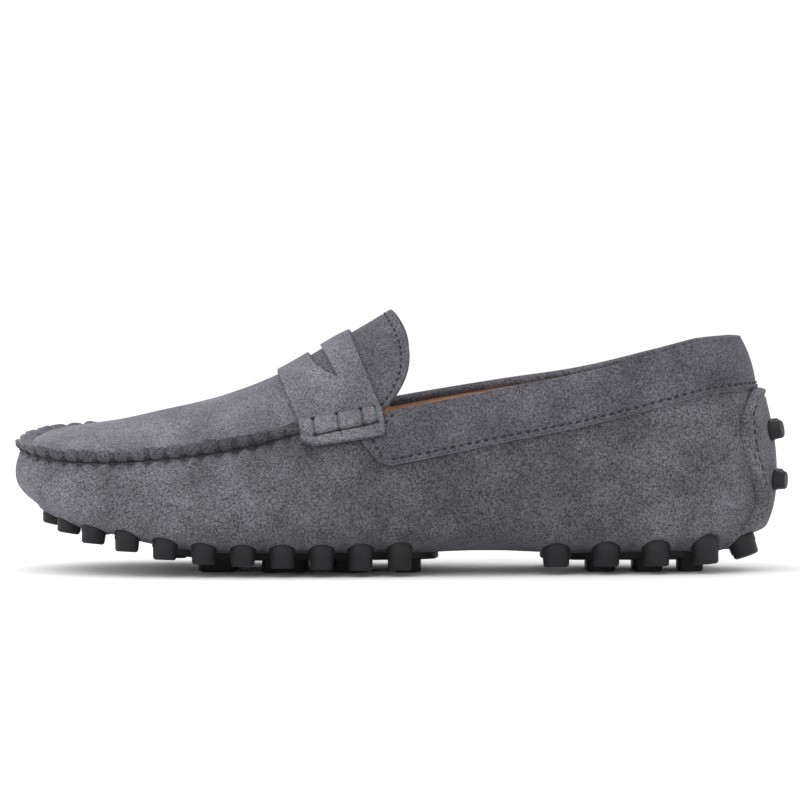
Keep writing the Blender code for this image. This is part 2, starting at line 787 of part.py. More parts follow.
def make_back(group, tools, suede, rubber):
    """The heel tab, and under it the rubber plate whose studs come through it."""
    plate_low = CLEARANCE
    plate_high = plate_low + PLATE_THICKNESS
    tab_low = plate_high + 2 * CLEARANCE
    tab = sheet("heel_tab", back_layer(tab_low + TAB_THICKNESS), back_layer(tab_low), group, suede)
    side = BACK_STUD_SIDE * BALL_WIDTH
    heights = [share * COLLAR_HEIGHT for share in BACK_STUD_HEIGHTS]
    reach = BACK_STUD_RADIUS + BACK_PLATE_MARGIN
    levels = np.linspace(max(heights) + reach, min(heights) - reach, 6)
    places = np.linspace(-(side + reach), side + reach, 5)
    high = [[back_place(s, z, plate_high)[0] for s in places] for z in levels]
    low = [[back_place(s, z, plate_low)[0] for s in places] for z in levels]
    plate = sheet("heel_back_studs", high, low, group, rubber)
    studs, holes = bmesh.new(), bmesh.new()
    for height in heights:
        for place in (-side, side):
            base, axis = back_place(place, height, 0.0)
            start, end = plate_low + PLATE_THICKNESS / 2, tab_low + TAB_THICKNESS + BACK_STUD_LENGTH
            radii = (BACK_STUD_RADIUS + STUD_TAPER, BACK_STUD_RADIUS - STUD_TAPER)
            add_stud(studs, base, axis, radii, start, end)
            add_stud(holes, base, axis, [radii[0] + CLEARANCE] * 2, start, end)
    boolean(tab, object_from("back_holes", holes, tools), "DIFFERENCE")
    boolean(plate, object_from("back_stud_forms", studs, tools), "UNION")


def bottom_tree():
    """The bottom's outer surface, finely divided, to find heights on."""
    rows, columns = 40, 240
    points = [
        shell_point(c / columns, 0.96 * (r / rows) ** 2) for r in range(rows + 1) for c in range(columns)
    ]
    faces = [
        (
            r * columns + c,
            (r + 1) * columns + c,
            (r + 1) * columns + (c + 1) % columns,
            r * columns + (c + 1) % columns,
        )
        for r in range(rows)
        for c in range(columns)
    ]
    return BVHTree.FromPolygons(points, faces)


def outline(sole, grow, count=20, power=3.6):
    """The pad's rounded outline in plan."""
    x0 = HEEL_X - sole.pad_mid * UPPER_LENGTH
    y0 = SPINE_SWING * sole.pad_mid
    half_long = sole.pad_half_long * UPPER_LENGTH + grow
    half_wide = sole.pad_half_wide * BALL_WIDTH + grow
    points = []
    for k in range(count):
        turn = 2 * math.pi * k / count
        c, s = math.cos(turn), math.sin(turn)
        points.append(
            Vector(
                (
                    x0 + half_long * math.copysign(abs(c) ** (2 / power), c),
                    y0 + half_wide * math.copysign(abs(s) ** (2 / power), s),
                    0.0,
                )
            )
        )
    return points


def pad_layer(sole, drop, tree):
    """Rings of points from the pad's middle to its outline, under the bottom by a drop."""
    edge = outline(sole, 0.0)
    middle = sum(edge, Vector()) / len(edge)
    rings = []
    for share in (0.0, 0.5, 1.0):
        ring = []
        for point in edge:
            place = middle.lerp(point, share)
            below = Vector((place.x, place.y + BESIDE_SPINE, -SOLE_CLEARANCE))
            hit = tree.ray_cast(below, Vector((0, 0, 1)))[0]
            ring.append(Vector((place.x, place.y, hit.z - drop)))
        rings.append(ring)
    return rings


def prism(form, points, low, high):
    """An upright prism in a bmesh."""
    bottom = [form.verts.new((p.x, p.y, low)) for p in points]
    top = [form.verts.new((p.x, p.y, high)) for p in points]
    form.faces.new(reversed(bottom))
    form.faces.new(top)
    for k in range(len(points)):
        after = (k + 1) % len(points)
        form.faces.new((bottom[k], bottom[after], top[after], top[k]))


def lug_outline(lug):
    """A lug's rectangle with cut corners, in plan."""
    x0 = HEEL_X - lug.mid * UPPER_LENGTH
    y0 = SPINE_SWING * lug.mid
    a, b = lug.half_long * UPPER_LENGTH, lug.half_wide * BALL_WIDTH
    corner = LUG_CORNER
    plan = ((a, b - corner), (a - corner, b), (corner - a, b), (-a, b - corner))
    plan += ((-a, corner - b), (corner - a, -b), (a - corner, -b), (a, corner - b))
    return [Vector((x0 + x, y0 + y, 0.0)) for x, y in plan]


def ring_row(sole, u):
    """Row of the bottom that a sole's ring lies on."""
    along = (HEEL_X - around(u)[0][0]) / UPPER_LENGTH
    toward_toe = max(0.0, min(1.0, (along - RING_TURNS_FROM) / (1 - RING_TURNS_FROM)))
    out = sole.side_out + (sole.end_out - sole.side_out) * toward_toe**2 * (3 - 2 * toward_toe)
    return 2 / math.pi * math.asin(out ** (BOTTOM_POWER / 2))


def ring_places(sole, forefoot):
    """Shares round the last of a ring's studs, evenly spaced along the ring."""
    first, last = side_share(sole.ring_end, False), side_share(sole.ring_end, True)
    if not forefoot:
        first, last = last - 1, first
    shares = np.linspace(first, last, 240)
    points = [shell_point(u, ring_row(sole, u)) for u in shares]
    steps = [(after - before).length for before, after in zip(points, points[1:])]
    lengths = np.concatenate(([0.0], np.cumsum(steps)))
    return np.interp(np.linspace(0, lengths[-1], sole.count), lengths, shares)


def ring_stud(sole, u):
    """Base point, axis and length of one stud of a ring."""
    v = ring_row(sole, u)
    base, normal = shell_point(u, v), shell_normal(u, v)
    along = (HEEL_X - base.x) / UPPER_LENGTH
    end = max(0.0, along - 0.86) / 0.14 + max(0.0, 0.09 - along) / 0.05
    axis = (Vector((0, 0, -1)) + normal * min(1.0, 0.25 + end)).normalized()
    foot = table_curve(FEET, "height", along) * TOE_SPRING
    return base, axis, (base.z - foot) / -axis.z


def make_sole(name, sole, lugs, forefoot, tree, group, tools, surface):
    """A rubber sole, and the two cutters that open the vamp for it."""
    low_off = -(VAMP_WALL + CLEARANCE)
    high_off = low_off - PLATE_THICKNESS
    rows = [r / BOTTOM_ROWS for r in range(INSOLE_ROWS + 1)] + [PLATE_TO]
    ends = side_share(sole.plate_end, False), side_share(sole.plate_end, True)
    columns = columns_between(*ends) if forefoot else columns_between(ends[1] - 1, ends[0])
    outer = [[shell(c / COLUMNS, v, low_off) for c in columns] for v in rows[:-1]]
    outer.append([shell(c / COLUMNS, PLATE_TO, low_off - CLEARANCE) for c in columns])
    inner = [[shell(c / COLUMNS, v, high_off) for c in columns] for v in rows]
    plate = sheet(name, outer, inner, group, surface)
    inside = -(low_off + high_off) / 2
    pad_high = pad_layer(sole, -inside, tree)
    pad = sheet(name + "_pad", pad_high, pad_layer(sole, PAD_PROUD, tree), tools, closed=True)
    boolean(plate, pad, "UNION", "MANIFOLD")
    forms, studs, holes = bmesh.new(), bmesh.new(), bmesh.new()
    for lug in lugs:
        points = lug_outline(lug)
        level = keel(sum(points, Vector()).x / len(points))
        lift = max(0.0, LUG_LIFT * (level - SOLE_CLEARANCE - ARCH_LIFT / 4))
        prism(forms, points, lift, level + inside / 2)
    boolean(plate, object_from(name + "_lugs", forms, tools), "UNION", "MANIFOLD")
    for u in ring_places(sole, forefoot):
        base, axis, length = ring_stud(sole, u)
        add_rooted_stud(studs, base, axis, sole.radius, inside, length, tree)
        hole = sole.radius + STUD_TAPER + CLEARANCE
        add_stud(holes, base, axis, (hole, hole), -inside * 4, length)
    boolean(plate, object_from(name + "_studs", studs, tools), "UNION", "MANIFOLD")
    window = bmesh.new()
    prism(window, outline(sole, CLEARANCE), -SOLE_CLEARANCE, 3 * SOLE_CLEARANCE)
    return [
        object_from(name + "_holes", holes, tools),
        object_from(name + "_window", window, tools),
    ]


def make_insole(group, surface):
    """The sock board over the two plates."""
    low_off = -(VAMP_WALL + 2 * CLEARANCE + PLATE_THICKNESS)
    high_off = low_off - INSOLE_THICKNESS
    rows = [r / BOTTOM_ROWS for r in range(INSOLE_ROWS + 1)]
    shares = [c / COLUMNS for c in range(COLUMNS)]
    outer = [[shell(u, v, low_off) for u in shares] for v in rows]
    inner = [[shell(u, v, high_off) for u in shares] for v in rows]
    sheet("insole", outer, inner, group, surface, closed=True)


def main():
    """Build the shoe."""
    remove_everything()
    shoe, tools = collection("driving_moccasin"), collection("cutters")
    suede = material("suede", SUEDE, 0.95)
    light = material("suede_light", SUEDE_LIGHT, 0.95)
    dark = material("suede_dark", SUEDE_DARK, 0.95)
    rubber = material("rubber", RUBBER, 0.6)
    sock = material("sock", SOCK, 0.8)
    tree = bottom_tree()
    cutters = make_sole("forefoot_sole", FOREFOOT, FOREFOOT_LUGS, True, tree, shoe, tools, rubber)
    cutters += make_sole("heel_sole", HEEL, HEEL_LUGS, False, tree, shoe, tools, rubber)
    make_vamp(shoe, cutters, suede)
    joint = CLEARANCE / UPPER_LENGTH * 10
    apron_rows = [0, 0.25, 0.6, 1, 1.5, 2.2] + list(range(3, 11)) + [TONGUE_FROM - joint]
    make_plug_piece("apron", apron_rows, shoe, light)
    tongue_rows = [TONGUE_FROM + joint, 11.2, 12, 12.5, 13, 13.5, len(PLUG) - 1]
    make_plug_piece("tongue", tongue_rows, shoe, dark)
    make_seam(shoe, suede)
    make_strap(shoe, tools, light)
    make_band(shoe, suede)
    make_back(shoe, tools, suede, rubber)
    make_insole(shoe, sock)
    for tool in tools.objects:
        tool.hide_render = True
        tool.display_type = "WIRE"


main()
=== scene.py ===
"""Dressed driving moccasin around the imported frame: suede, stitching, strap and studded rubber.

The shoe's surface is read from the same kind of tables as its solids, and each panel lies on it.
The toe points along -X, the lateral side faces -Y and +Z is up, in metres.
"""

import math
from collections import namedtuple

import bmesh
import bpy
import numpy as np
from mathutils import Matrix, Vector, noise
from mathutils.bvhtree import BVHTree


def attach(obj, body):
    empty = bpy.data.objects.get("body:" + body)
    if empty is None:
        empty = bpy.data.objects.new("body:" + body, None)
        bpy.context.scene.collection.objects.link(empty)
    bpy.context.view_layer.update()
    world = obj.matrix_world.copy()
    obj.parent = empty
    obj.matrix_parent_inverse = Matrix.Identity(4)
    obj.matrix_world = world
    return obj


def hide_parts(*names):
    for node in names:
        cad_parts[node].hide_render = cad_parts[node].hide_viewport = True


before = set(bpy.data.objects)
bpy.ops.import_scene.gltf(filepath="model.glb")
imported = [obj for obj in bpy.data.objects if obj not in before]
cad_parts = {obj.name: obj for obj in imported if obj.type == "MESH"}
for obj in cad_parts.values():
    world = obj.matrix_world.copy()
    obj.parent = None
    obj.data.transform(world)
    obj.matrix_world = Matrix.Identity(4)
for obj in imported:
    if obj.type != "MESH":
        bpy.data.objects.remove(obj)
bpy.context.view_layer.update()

# Last
UPPER_LENGTH = 0.2762
BALL_WIDTH = 0.0970
COLLAR_HEIGHT = 0.0840
SOLE_CLEARANCE = 0.0066
TOE_SPRING = 0.0190
TOE_SPRING_FROM = 0.70
ARCH_LIFT = 0.0012
ARCH_AT = 0.385
ARCH_SPREAD = 0.075
HEEL_LIFT = 0.0022
HEEL_LIFT_FROM = 0.09
SPINE_END = 0.100
SPINE_SWING = 0.0020
BOTTOM_POWER = 2.8
WALL_POWER = 1.7

# Leather and clearances
CLEARANCE = 0.0003
VAMP_WALL = 0.0018
APRON_THICKNESS = 0.0016
STRAP_THICKNESS = 0.0015
BAND_THICKNESS = 0.0009
TAB_THICKNESS = 0.0014
INSOLE_THICKNESS = 0.0024
PLATE_THICKNESS = 0.0012

# Apron edge and raised seam
EDGE_SET = 0.0022
EDGE_RISE = 0.0006
CREST_POWER = 0.85
PUCKER_PITCH = 0.0064
SEAM_FOOT = 0.0012

# Saddle strap
STRAP_FRONT = 0.6120
STRAP_REAR = 0.5020
STRAP_DROP = 0.0078

# Collar band
BAND_DEPTH = 0.0180
BAND_TURN_IN = 0.0040
BAND_FRONT_TOP = 0.494
BAND_FRONT_MIDDLE = 0.532
BAND_FRONT_LOW = 0.512
BAND_FRONT_ZONE = 0.15

# Rubber soles
STUD_RADIUS = 0.0043
STUD_TAPER = 0.0004
HEEL_STUD_RADIUS = 0.0048
BACK_STUD_RADIUS = 0.0034
BACK_STUD_LENGTH = 0.0045
PAD_PROUD = 0.0026
LUG_LIFT = 2.5

# Round the last from the heel: along and side place the widest line, as shares of the upper's
# length (heel to toe) and of the ball width (lateral is negative). Widest and rim are heights, as
# shares of the collar height. Inset is how far the rim leans in, as a share of the ball width.
Around = namedtuple("Around", "along side widest inset rim")
AROUND = (
    Around(0.000, 0.000, 0.44, 0.113, 1.010),
    Around(0.028, -0.190, 0.43, 0.108, 1.008),
    Around(0.080, -0.285, 0.40, 0.098, 0.992),
    Around(0.150, -0.332, 0.35, 0.085, 0.938),
    Around(0.250, -0.356, 0.31, 0.072, 0.858),
    Around(0.350, -0.381, 0.29, 0.075, 0.794),
    Around(0.450, -0.423, 0.28, 0.100, 0.726),
    Around(0.520, -0.456, 0.27, 0.137, 0.681),
    Around(0.600, -0.488, 0.27, 0.172, 0.638),
    Around(0.680, -0.500, 0.27, 0.180, 0.567),
    Around(0.760, -0.492, 0.28, 0.165, 0.523),
    Around(0.840, -0.452, 0.30, 0.135, 0.498),
    Around(0.910, -0.370, 0.33, 0.098, 0.487),
    Around(0.962, -0.252, 0.39, 0.060, 0.497),
    Around(0.991, -0.110, 0.42, 0.034, 0.520),
    Around(1.000, 0.030, 0.44, 0.026, 0.540),
    Around(0.991, 0.165, 0.43, 0.034, 0.568),
    Around(0.962, 0.295, 0.40, 0.058, 0.590),
    Around(0.910, 0.395, 0.35, 0.092, 0.588),
    Around(0.840, 0.465, 0.32, 0.125, 0.578),
    Around(0.760, 0.500, 0.30, 0.152, 0.578),
    Around(0.680, 0.493, 0.29, 0.165, 0.608),
    Around(0.600, 0.450, 0.29, 0.152, 0.655),
    Around(0.520, 0.398, 0.30, 0.118, 0.712),
    Around(0.450, 0.360, 0.30, 0.086, 0.756),
    Around(0.350, 0.330, 0.30, 0.068, 0.812),
    Around(0.250, 0.325, 0.31, 0.068, 0.862),
    Around(0.150, 0.318, 0.35, 0.080, 0.938),
    Around(0.080, 0.275, 0.40, 0.096, 0.992),
    Around(0.028, 0.185, 0.43, 0.108, 1.008),
)
TIP_ROW = 15
RING_TURNS_FROM = 0.84

# Apron and tongue from the toe back: edge is where the row leaves the vamp's rim and crest where
# it passes over the top, both as shares of the upper's length, height and bulge as shares of the
# collar height. A row that bulges swells backwards half way up.
Plug = namedtuple("Plug", "edge crest height bulge")
PLUG = (
    Plug(1.000, 0.983, 0.549, 0.0),
    Plug(0.996, 0.980, 0.555, 0.0),
    Plug(0.985, 0.973, 0.568, 0.0),
    Plug(0.960, 0.953, 0.592, 0.0),
    Plug(0.920, 0.922, 0.616, 0.0),
    Plug(0.860, 0.864, 0.652, 0.0),
    Plug(0.800, 0.808, 0.694, 0.0),
    Plug(0.740, 0.753, 0.734, 0.0),
    Plug(0.677, 0.702, 0.785, 0.0),
    Plug(0.623, 0.657, 0.845, 0.0),
    Plug(0.571, 0.614, 0.922, 0.0),
    Plug(0.524, 0.572, 1.005, 0.0),
    Plug(0.502, 0.554, 1.035, 0.0),
    Plug(0.504, 0.527, 1.087, 0.042),
    Plug(0.507, 0.501, 1.140, 0.100),
)
TONGUE_FROM = 10.6

# Heel tab from the top down: height as a share of the collar height, half as a share of the ball
# width, measured round the heel.
Tab = namedtuple("Tab", "height half")
TAB = (
    Tab(0.785, 0.120),
    Tab(0.750, 0.170),
    Tab(0.690, 0.220),
    Tab(0.610, 0.235),
    Tab(0.520, 0.225),
    Tab(0.420, 0.190),
    Tab(0.330, 0.152),
    Tab(0.265, 0.155),
    Tab(0.205, 0.200),
)
TAB_FOOT = 0.150  # the lower end tucks down to this share of the collar height

# Height of the ring studs' feet along the shoe, as a share of the toe spring.
Foot = namedtuple("Foot", "along height")
FEET = (
    Foot(0.03, 0.320),
    Foot(0.10, 0.160),
    Foot(0.30, 0.145),
    Foot(0.45, 0.115),
    Foot(0.55, 0.115),
    Foot(0.65, 0.170),
    Foot(0.75, 0.250),
    Foot(0.80, 0.335),
    Foot(0.85, 0.490),
    Foot(0.89, 0.605),
    Foot(0.93, 0.810),
    Foot(0.96, 1.000),
    Foot(1.00, 1.200),
)

# A sole: ring_end is where the ring's last studs stand, as a share of the upper's length. The ring
# lies at side_out of the way from the spine to the widest line, and at end_out round the toe or
# heel. The pad's middle and half length are shares of the upper's length, its half width a share of
# the ball width.
Sole = namedtuple(
    "Sole", "ring_end count side_out end_out radius pad_mid pad_half_long pad_half_wide"
)
FOREFOOT = Sole(0.489, 22, 0.81, 0.50, STUD_RADIUS, 0.622, 0.185, 0.275)
HEEL = Sole(0.283, 10, 0.72, 0.72, HEEL_STUD_RADIUS, 0.168, 0.098, 0.165)

# Lugs under the pads: mid and half_long as shares of the upper's length, half_wide of the ball
# width.
Lug = namedtuple("Lug", "mid half_long half_wide")
FOREFOOT_LUGS = (
    Lug(0.785, 0.0150, 0.110),
    Lug(0.729, 0.0260, 0.150),
    Lug(0.640, 0.0310, 0.180),
    Lug(0.553, 0.0240, 0.180),
    Lug(0.478, 0.0180, 0.160),
)
HEEL_LUGS = (
    Lug(0.222, 0.0200, 0.120),
    Lug(0.160, 0.0200, 0.130),
    Lug(0.103, 0.0170, 0.105),
)

# Penny slot from the crest down one flank: down is the share of the way to the seam, front and rear
# its edges as shares of the strap's width.
Slot = namedtuple("Slot", "down front rear")
SLOT = (
    Slot(0.00, 0.337, 0.467),
    Slot(0.30, 0.345, 0.485),
    Slot(0.456, 0.366, 0.495),
    Slot(0.602, 0.428, 0.508),
    Slot(0.66, 0.475, 0.514),
    Slot(0.69, 0.510, 0.518),
)

# Back studs behind the heel, as shares of the collar height and of the ball width
BACK_STUD_HEIGHTS = (0.607, 0.400)
BACK_STUD_SIDE = 0.072

# Colours, linear
SUEDE = (0.107, 0.105, 0.118)
SUEDE_LIGHT = (0.130, 0.128, 0.144)
SUEDE_DARK = (0.086, 0.084, 0.098)
SUEDE_BAND = (0.082, 0.080, 0.093)
SUEDE_RAW = (0.125, 0.122, 0.138)
# SUEDE_RIDGE is darker than the body suede: painted shade on the seam ridge's outward face.
SUEDE_RIDGE = (0.084, 0.082, 0.094)
# SUEDE_CREST: a lighter suede on the seam ridge's top edge.
SUEDE_CREST = (0.150, 0.147, 0.160)
RUBBER = (0.011, 0.011, 0.013)
SOCK = (0.72, 0.50, 0.37)
THREAD = (0.006, 0.006, 0.008)
PATCH_SPREAD = 0.25
FLECK_SPREAD = 0.60
# Painted light and shade along the suede body and the apron: share of the way from toe to heel, and
# tone there.
BODY_LIGHT_AND_SHADE = ((0.0, 1.24), (0.12, 1.08), (0.25, 0.95), (0.4, 0.8))
BODY_LIGHT_AND_SHADE += ((0.55, 0.62), (0.74, 0.68), (0.88, 0.92), (1.0, 0.98))
APRON_LIGHT_AND_SHADE = ((0.0, 1.18), (0.15, 1.12), (0.32, 1.06), (0.42, 1.0))

# Studio and camera
FLOOR_COLOUR = (0.93, 0.93, 0.93)
FLOOR_REACH = 60.0
WORLD_STRENGTH = 1.1
# Lights: name, place, aim, size and power
LIGHTS = (
    ("top", (-0.5, -0.3, 1.3), (0, 0, 0.03), 1.2, 7.0),
    ("front", (-0.7, -1.5, 0.9), (0, 0, 0.04), 0.9, 4.0),
    ("back", (0.6, 1.2, 0.9), (0, 0, 0.04), 1.0, 2.0),
)
SENSOR_WIDTH = 36.0
CAMERA_DISTANCE = 2.0
FRAME_WIDTH = 0.2936
CAMERA_ELEVATION = 2.3
CAMERA_TARGET = (-0.0007, 0.0, 0.0624)

# Where the upper's heel and toe end: what lies behind the heel moves the upper forward.
BACK_BUILD = 3 * CLEARANCE + PLATE_THICKNESS + TAB_THICKNESS
HEEL_X = (UPPER_LENGTH - BACK_BUILD - BACK_STUD_LENGTH) / 2
TOE_X = HEEL_X - UPPER_LENGTH
UP = np.array((0.0, 0.0, 1.0))

# Rows of the upper's surface: 0 to 1 under the foot and 1 to WALL_TOP up the wall. WALL_LENGTH is
# about how long the wall is there.
WALL_TOP = 2.0
WALL_LENGTH = 0.030

# Relief of the vamp: gathers under the seam, which start below what the ridge covers, and lips
# round the studs. MOST_SINK keeps it off the lining.
VAMP_COLUMNS = 720
GATHER_DEPTH = 0.0011
GATHER_REACH = 0.0050
GATHER_FADE = 0.01
SEAM_SINK = 0.0005
PLEAT_RISE = 0.00065
PLEAT_REACH = 0.0075
SEAM_COVER = 0.0009
MOST_SINK = 0.6 * VAMP_WALL
STUD_LIP = 0.0009
STUD_LIP_WIDTH = 0.0014
STUD_LIP_ROWS = 1.35

# Seam ridge: its height at the toe, what the sides add and what it loses where it lies over, the
# puff between two stitches, the row of its lower edge, and its outline as shares of the height and
# of the puff. The noises are scale and seed.
RIDGE_HEIGHT = 0.0038
RIDGE_SIDE_RISE = 0.0009
RIDGE_LIE = 0.0013
RIDGE_PUFF = 0.0016
RIDGE_SINK = 0.0004
RIDGE_FOOT = WALL_TOP - 0.035
RIDGE_FRONT_GAP = 0.004
RIDGE_OUTLINE = ((0.1, 0.35), (0.3, 0.95), (0.55, 1.0), (0.78, 0.8), (0.93, 0.45), (1.0, 0.1))
RIDGE_RINGS = 14
RIDGE_NOISES = ((0.8, 4.2), (2.7, 8.8))
RIDGE_STITCH_RADIUS = 0.00044
RIDGE_CORD_RADIUS = 0.00020

# Strap: its grid, how far down the wall its path starts, and the pinched roll at its ends, with the
# roll's pinches as shares of the strap's width
STRAP_WIDE, STRAP_LONG = 121, 300
STRAP_TOP_DROP = 0.0008
STRAP_SMOOTHING = 14
ROLL_PILLOW = 0.0015
ROLL_CREASE = 0.0004
ROLL_GROOVES = (0.13, 0.36, 0.60, 0.82)
# Distances of the roll's lower and upper lines from the strap's end, at its front and rear edges.
ROLL_LOW = 0.0036, 0.0056
ROLL_HIGH = 0.0104, 0.0142
# Thread radii of the wraps in the pinches, of the dark lines along the roll's edges, which are
# painted shadow of its folds, and of the stitches where they cross, with half such a stitch as a
# share of the strap's width
WRAP_RADIUS = 0.00010
SHADOW_LINE_RADIUS = 0.00028
CROSSING_RADIUS = 0.00050
CROSSING_HALF = 0.022

# Collar band: the fold along its lower edge, the stitched line above that and the puff up to the
# top line. Fold and line lie at shares of its depth, counted from the top line.
BAND_STOPS, BAND_ROWS = 300, 26
BAND_FOLD, BAND_FOLD_AT = 0.0006, 0.965
BAND_LINE, BAND_LINE_AT = 0.0003, 0.90
BAND_PUFF = 0.0007
BAND_CORNER = 0.09

# Heel tab's edge: a ridge, a line inside it and the fall outside; its lower end tucks down
TAB_RIDGE = 0.0007
TAB_LINE = 0.0004
TAB_LINE_IN = 0.0032
TAB_FALL = 0.0014
TAB_TUCK = 0.0060

# Stitch rows: a stitch's pitch and length, and the thread's radius
Thread = namedtuple("Thread", "pitch length radius")
TONGUE_THREAD = Thread(0.0027, 0.0014, 0.00034)
BAND_THREAD = Thread(0.0031, 0.0016, 0.00038)
TAB_THREAD = Thread(0.0034, 0.0018, 0.00036)
THREAD_SIDES = 6
THREAD_END = 0.45
# The tongue's stitched line: its depth and its distance from the edge
TONGUE_LINE = 0.0003
TONGUE_LINE_IN = 0.0026


def spline_tangents(knots, values):
    """Tangents of a closed Catmull-Rom curve; its last value repeats the first."""
    span = np.diff(knots)[:, None]
    slope = np.diff(values, axis=0) / span
    before, after = np.vstack((slope[-1:], slope)), np.vstack((slope, slope[:1]))
    span_before, span_after = np.vstack((span[-1:], span)), np.vstack((span, span[:1]))
    return (before * span_after + after * span_before) / (span_before + span_after)


def around_arrays():
    """Knots by distance round the shoe, the table round the last in metres, and its tangents."""
    sizes = (-UPPER_LENGTH, BALL_WIDTH, COLLAR_HEIGHT, BALL_WIDTH, COLLAR_HEIGHT)
    values = np.array(AROUND + AROUND[:1]) * sizes + (HEEL_X, 0, 0, 0, 0)
    knots = travelled(values[:, :2])
    return knots, values, spline_tangents(knots, values)


def unit(vectors):
    """Vectors of length one."""
    return vectors / np.maximum(np.linalg.norm(vectors, axis=-1, keepdims=True), 1e-12)


def smooth(value):
    """A soft step from 0 to 1."""
    value = np.clip(value, 0.0, 1.0)
    return value * value * (3 - 2 * value)


def halved(passes, near, far):
    """The place between near, where a test passes, and far, where it doesn't, found by halving."""
    for _ in range(40):
        middle = (near + far) / 2
        ahead = passes(middle)
        near, far = np.where(ahead, middle, near), np.where(ahead, far, middle)
    return (near + far) / 2


def hermite(f, first, last, from_first, to_last):
    """A cubic at shares f of the way between two values, with their tangents."""
    return (
        (1 + 2 * f) * (1 - f) ** 2 * first
        + f * (1 - f) ** 2 * from_first
        + f * f * (3 - 2 * f) * last
        + f * f * (f - 1) * to_last
    )


def bell(distance, width):
    """1 at no distance, falling to 0 over a width."""
    return np.exp(-((distance / width) ** 2))


def travelled(points):
    """Distances along lines of points from their first; lines run down the first axis."""
    steps = np.linalg.norm(np.diff(points, axis=0), axis=-1)
    return np.concatenate((np.zeros_like(steps[:1]), np.cumsum(steps, axis=0)))


KNOTS, ROUND, ROUND_TANGENTS = around_arrays()


def around(u):
    """Places, heights and outward directions at shares of the way round: 0 heel, 0.5 toe tip."""
    u = np.mod(np.asarray(u, float), 1.0)
    tip, end = KNOTS[TIP_ROW], KNOTS[-1]
    at = np.where(u < 0.5, 2 * u * tip, tip + (2 * u - 1) * (end - tip))
    i = np.clip(np.searchsorted(KNOTS, at, side="right") - 1, 0, len(KNOTS) - 2)
    span = (KNOTS[i + 1] - KNOTS[i])[..., None]
    f = (at - KNOTS[i])[..., None] / span
    first, last = ROUND_TANGENTS[i], ROUND_TANGENTS[i + 1]
    value = hermite(f, ROUND[i], ROUND[i + 1], span * first, span * last)
    slope = 6 * f * (1 - f) / span * (ROUND[i + 1] - ROUND[i])
    slope = slope + (1 - f) * (1 - 3 * f) * first + f * (3 * f - 2) * last
    outward = np.stack((-slope[..., 1], slope[..., 0], np.zeros_like(at)), axis=-1)
    return value, unit(outward)


def side_share(along, medial):
    """Where the widest line passes shares of the length, on one side of the shoe."""
    along = np.asarray(along, float)
    x = HEEL_X - along * UPPER_LENGTH
    heel, toe = np.full_like(x, 1.0 if medial else 0.0), np.full_like(x, 0.5)
    share = halved(lambda place: around(place)[0][..., 0] > x, heel, toe)
    return np.where(along >= 1.0, 0.5, share)


def keel(x):
    """Height of the bottom's centre line."""
    along = (HEEL_X - x) / UPPER_LENGTH
    toe = np.maximum(0.0, (along - TOE_SPRING_FROM) / (1 - TOE_SPRING_FROM))
    heel = np.maximum(0.0, (HEEL_LIFT_FROM - along) / HEEL_LIFT_FROM)
    arch = np.exp(-(((along - ARCH_AT) / ARCH_SPREAD) ** 2))
    return SOLE_CLEARANCE + TOE_SPRING * toe**1.7 + HEEL_LIFT * heel**2 + ARCH_LIFT * arch


def spine(u):
    """Points of the centre line that columns start from; both sides share them."""
    share = np.minimum(np.mod(u, 1.0), 1.0 - np.mod(u, 1.0))
    x = (around(share)[0][..., 0] + around(1.0 - share)[0][..., 0]) / 2
    x = np.clip(x, TOE_X + SPINE_END * UPPER_LENGTH, HEEL_X - SPINE_END * UPPER_LENGTH)
    return np.stack((x, SPINE_SWING * (HEEL_X - x) / UPPER_LENGTH, np.zeros_like(x)), axis=-1)


def shell_point(u, v):
    """The upper's outer surface: v runs 0 to 1 under the foot and 1 to 2 up the wall."""
    u, v = np.broadcast_arrays(np.asarray(u, float), np.asarray(v, float))
    value, outward = around(u)
    widest, inset, rim = value[..., 2], value[..., 3], value[..., 4]
    edge = np.concatenate((value[..., :2], np.zeros_like(value[..., :1])), axis=-1)
    turn = np.clip(v, 0.0, 1.0) * math.pi / 2
    out = np.sin(turn) ** (2 / BOTTOM_POWER)
    rise = 1 - np.maximum(np.cos(turn), 0.0) ** (2 / BOTTOM_POWER)
    start = spine(u)
    under = start + (edge - start) * out[..., None]
    low = keel(under[..., 0])
    under[..., 2] = low + (widest - low) * rise
    climb = np.maximum(v - 1.0, 0.0)
    wall = edge - outward * (inset * climb**WALL_POWER)[..., None]
    wall[..., 2] = widest + (rim - widest) * climb
    return np.where((v <= 1.0)[..., None], under, wall)


def shell_normal(u, v):
    """Outward directions of the upper's surface."""
    u, v = np.broadcast_arrays(np.asarray(u, float), np.asarray(v, float))
    low, high = np.maximum(0.03, v - 0.01), np.minimum(WALL_TOP, np.maximum(0.05, v + 0.01))
    middle = np.maximum(v, 0.04)
    up = shell_point(u, high) - shell_point(u, low)
    forward = shell_point(u + 0.0015, middle) - shell_point(u - 0.0015, middle)
    return unit(np.cross(up, forward))


def shell(u, v, off=0.0):
    """A layer of the upper, off its outer surface."""
    return shell_point(u, v) + shell_normal(u, v) * np.asarray(off, float)[..., None]


def wall_place(u, height):
    """Rows of the wall that lie at given heights."""
    value = around(u)[0]
    return 1.0 + (height - value[..., 2]) / (value[..., 4] - value[..., 2])


def plug_value(row, column):
    """One column of the plug's table, read smoothly at row numbers."""
    values = np.array([getattr(entry, column) for entry in PLUG])
    row = np.asarray(row, float)
    i = np.clip(row.astype(int), 0, len(values) - 2)
    f = row - i
    back, ahead = np.maximum(i - 1, 0), np.minimum(i + 2, len(values) - 1)
    first = (values[i + 1] - values[back]) / (i + 1 - back)
    last = (values[ahead] - values[i]) / (ahead - i)
    return hermite(f, values[i], values[i + 1], first, last)


def plug_row(edge):
    """Row number at which the plug's edge passes a share of the length, ahead of the tongue."""
    return halved(lambda row: plug_value(row, "edge") > edge, 0.0, 12.0)


